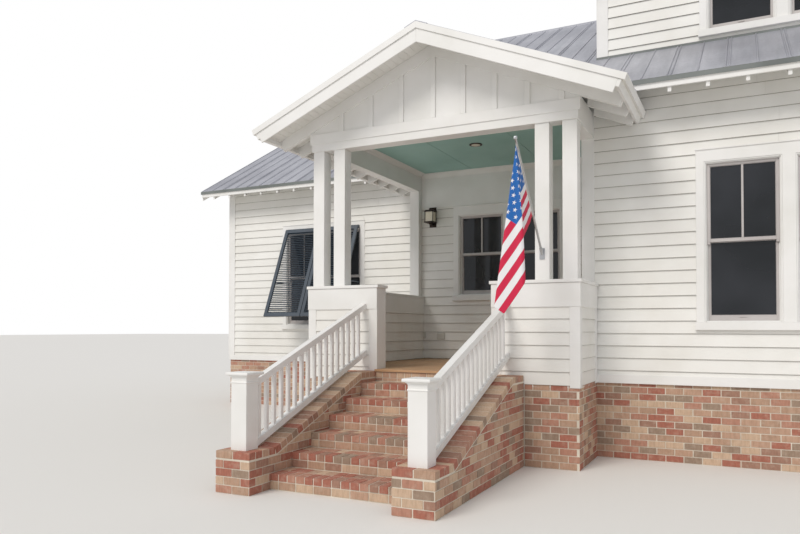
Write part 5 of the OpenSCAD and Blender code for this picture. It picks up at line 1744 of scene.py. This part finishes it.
def flagCloth():
    # outdoor nylon, sewn stripes and embroidered stars, read off the cloth's own UV map:
    # its X runs along the fly, its Y up the hoist
    material, tree, shader = newMaterial("outdoor_nylon", {"Roughness": 0.6})
    cloth = addNode(tree, "ShaderNodeUVMap", uv_map="cloth")
    width, foot = flag["canton"]
    up = addNode(tree, "ShaderNodeSeparateXYZ", {0: cloth}).outputs["Y"]
    rows = addNode(tree, "ShaderNodeMath", {0: up, 1: 13.0}, operation="MULTIPLY")
    pair = addNode(tree, "ShaderNodeMath", {0: rows, 1: 2.0}, operation="FLOORED_MODULO")
    red = addNode(tree, "ShaderNodeMath", {0: pair, 1: 1.0}, operation="LESS_THAN")
    # the canton is 12 by 10 units; rows of six stars stand on its odd units and rows of five on its even ones
    rise = 10 / (1 - foot)
    grid = addNode(tree, "ShaderNodeMapping", {
        "Vector": cloth, "Location": (0, -foot * rise, 0), "Scale": (12 / width, rise, 1)})
    kept = inside(tree, grid, (1, 1), (11, 9))
    fives = addNode(tree, "ShaderNodeMath", {0: starMask(tree, grid, 0.0), 1: kept}, operation="MULTIPLY")
    stars = addNode(tree, "ShaderNodeMath", {0: starMask(tree, grid, 1.0), 1: fives}, operation="MAXIMUM")
    canton = addNode(tree, "ShaderNodeMix", {0: stars, 6: colour(flag["blue"]), 7: colour(flag["white"])},
                     data_type="RGBA")
    field = colour(flag["white"])
    heading = inside(tree, cloth, (-1, -1), (flag["heading"] / flag["fly"], 2))
    fold = addNode(tree, "ShaderNodeMath", {0: rows, 1: 0.5}, operation="PINGPONG")
    seam = addNode(tree, "ShaderNodeMath", {0: fold, 1: 0.03}, operation="LESS_THAN")
    seam = addNode(tree, "ShaderNodeMath", {0: seam, 1: 0.25}, operation="MULTIPLY")
    for share, over in ((red, colour(flag["red"])), (inside(tree, cloth, (-1, foot), (width, 2)), canton),
                        (heading, colour("#e6e2d8")), (seam, colour("#6c5a62"))):
        field = addNode(tree, "ShaderNodeMix", {0: share, 6: field, 7: over}, data_type="RGBA")
    # slubs about 2 mm long
    threads = addNode(tree, "ShaderNodeMapping", {
        "Vector": cloth, "Scale": (flag["fly"] / 2.0, flag["hoist"] / 2.0, 1.0)})
    weave = addNode(tree, "ShaderNodeTexNoise", {"Vector": threads, "Scale": 1.0, "Detail": 2.0})
    slubs = addNode(tree, "ShaderNodeBump", {"Height": weave, "Distance": 0.3 * mm, "Strength": 0.5})
    feed(tree, shader, {"Base Color": field, "Normal": slubs})
    return material


def foldRays():
    # the cloth is let go in folds that fan out from the pole's tip. Each ray is the direction of a line
    # through that tip, listed with its angle from the hoist. The folds are seen from below, in degrees off
    # the plumb line
    turn = math.radians(flag["facing"])
    steep = 90 - flag["poleSlope"]
    corners = [(steep * math.sin(turn), steep * math.cos(turn))] + list(flag["folds"])
    walk = []
    for (a0, b0), (a1, b1) in zip(corners, corners[1:]):
        count = max(1, round(math.hypot(a1 - a0, b1 - b0) / 0.25))
        walk += [(a0 + (a1 - a0) * i / count, b0 + (b1 - b0) * i / count) for i in range(count)]
    walk.append(corners[-1])
    rays, angle = [], 0.0
    for i in range(len(walk)):
        spread = min(flag["foldRound"], i, len(walk) - 1 - i)
        near = walk[i - spread:i + spread + 1]
        right = sum(p[0] for p in near) / len(near)
        away = sum(p[1] for p in near) / len(near)
        off = math.radians(math.hypot(right, away))
        bearing = math.atan2(away, right) + turn
        ray = Vector((math.sin(off) * math.cos(bearing), math.sin(off) * math.sin(bearing), -math.cos(off)))
        if rays:
            angle += ray.angle(rays[-1][1])
        rays.append((angle, ray))
    return rays


def rayAt(rays, angle):
    for (angle0, ray0), (angle1, ray1) in zip(rays, rays[1:]):
        if angle <= angle1:
            return ray0.lerp(ray1, (angle - angle0) / (angle1 - angle0)).normalized()
    return rays[-1][1]


def flagStart():
    # the cloth as it is let go: its hoist lies along the pole, the rest is folded without any stretch
    across = round(flag["hoist"] / flag["mesh"])
    along = round(flag["fly"] / flag["mesh"])
    rays = foldRays()
    tipY, tipZ = poleSpot(flag["poleLength"] - flag["tipGap"], 13)
    tip = at(flagX, tipY, tipZ)
    points, faces, flat = [], [], []
    for j in range(along + 1):
        for i in range(across + 1):
            fly, down = j / along * flag["fly"], (1 - i / across) * flag["hoist"]
            fromHoist = math.pi / 2 - math.atan2(down, fly) if fly or down else 0.0
            points.append(tip + rayAt(rays, fromHoist) * math.hypot(fly, down) * mm)
            flat.append((j / along, i / across))
    row = across + 1
    for j in range(along):
        for i in range(across):
            faces.append((j * row + i, j * row + i + 1, (j + 1) * row + i + 1, (j + 1) * row + i))
    mesh = bpy.data.meshes.new("flag_start")
    mesh.from_pydata(points, [], faces)
    layer = mesh.uv_layers.new(name="cloth")
    for loop in mesh.loops:
        layer.data[loop.index].uv = flat[loop.vertex_index]
    return mesh, range(across + 1)


def hangFlag(material):
    mesh, pinned = flagStart()
    hung = addObject("flag_hanging", mesh)
    group = hung.vertex_groups.new(name="hoist")
    group.add(list(pinned), 1.0, "REPLACE")
    cloth = hung.modifiers.new("cloth", "CLOTH")
    how = cloth.settings
    how.quality = 8
    how.mass = 0.15
    how.tension_stiffness = 40
    how.compression_stiffness = 40
    how.shear_stiffness = 12
    how.bending_stiffness = 0.4
    how.tension_damping = 10
    how.air_damping = 10
    how.vertex_group_mass = "hoist"
    cloth.collision_settings.use_collision = False
    cloth.point_cache.frame_start = 1
    cloth.point_cache.frame_end = flag["frames"]
    for step in range(1, flag["frames"] + 1):
        bpy.context.scene.frame_set(step)
    made = bpy.data.meshes.new_from_object(hung.evaluated_get(bpy.context.evaluated_depsgraph_get()))
    bpy.data.objects.remove(hung)
    bpy.context.scene.frame_set(1)
    made.materials.clear()
    made.materials.append(material)
    made.polygons.foreach_set("use_smooth", [True] * len(made.polygons))
    piece = addObject("flag_cloth", made)
    thick = piece.modifiers.new("thickness", "SOLIDIFY")
    thick.thickness = flag["thick"] * mm
    thick.offset = 0
    smooth = piece.modifiers.new("smooth", "SUBSURF")
    smooth.levels = 1
    smooth.render_levels = 1
    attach(piece, "root")
    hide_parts("flag")
    return piece


hangFlag(flagCloth())
print("flag hung")


# Stage and light

def addStage():
    mesh = bpy.data.meshes.new("floor")
    reach = 150
    corners = [(a * reach, b * reach, 0) for a, b in ((-1, -1), (1, -1), (1, 1), (-1, 1))]
    mesh.from_pydata(corners, [], [(0, 1, 2, 3)])
    material = newMaterial("pale_floor", {"Roughness": 0.9, "Base Color": colour("#e6e4e0")})[0]
    mesh.materials.append(material)
    floor = addObject("floor", mesh)


light = {
    "sunStrength": 1.58,
    "sunAngle": 26.0,
    "sunHigh": 42.0,
    "sunAzimuth": -16.0,
    "skyStrength": 0.66,
    "sun": "#fffaf3",
    "sky": "#f4f6fa",
    "backdrop": "#ffffff",
}


def addLight():
    data = bpy.data.lights.new("softKey", "SUN")
    data.energy = light["sunStrength"]
    data.angle = math.radians(light["sunAngle"])
    data.color = colour(light["sun"])[:3]
    lamp = addObject("softKey", data)
    lamp.rotation_euler = (math.radians(90 - light["sunHigh"]), 0, math.radians(light["sunAzimuth"]))
    world = bpy.data.worlds.new("studio")
    world.use_nodes = True
    bpy.context.scene.world = world
    tree = world.node_tree
    tree.nodes.clear()
    # what the camera sees past the house, or through a pane, is the white backdrop; the sky lights the rest
    path = addNode(tree, "ShaderNodeLightPath").outputs
    seen = addNode(tree, "ShaderNodeMath", {0: path["Is Camera Ray"], 1: path["Is Transmission Ray"]},
                   operation="MAXIMUM")
    sky = addNode(tree, "ShaderNodeBackground",
                  {"Color": colour(light["sky"]), "Strength": light["skyStrength"]})
    pale = addNode(tree, "ShaderNodeBackground", {"Color": colour(light["backdrop"]), "Strength": 1.0})
    mixed = addNode(tree, "ShaderNodeMixShader", {0: seen, 1: sky, 2: pale})
    addNode(tree, "ShaderNodeOutputWorld", {"Surface": mixed})


addStage()
addLight()
bpy.context.scene.view_settings.view_transform = "Standard"
print("stage lit")
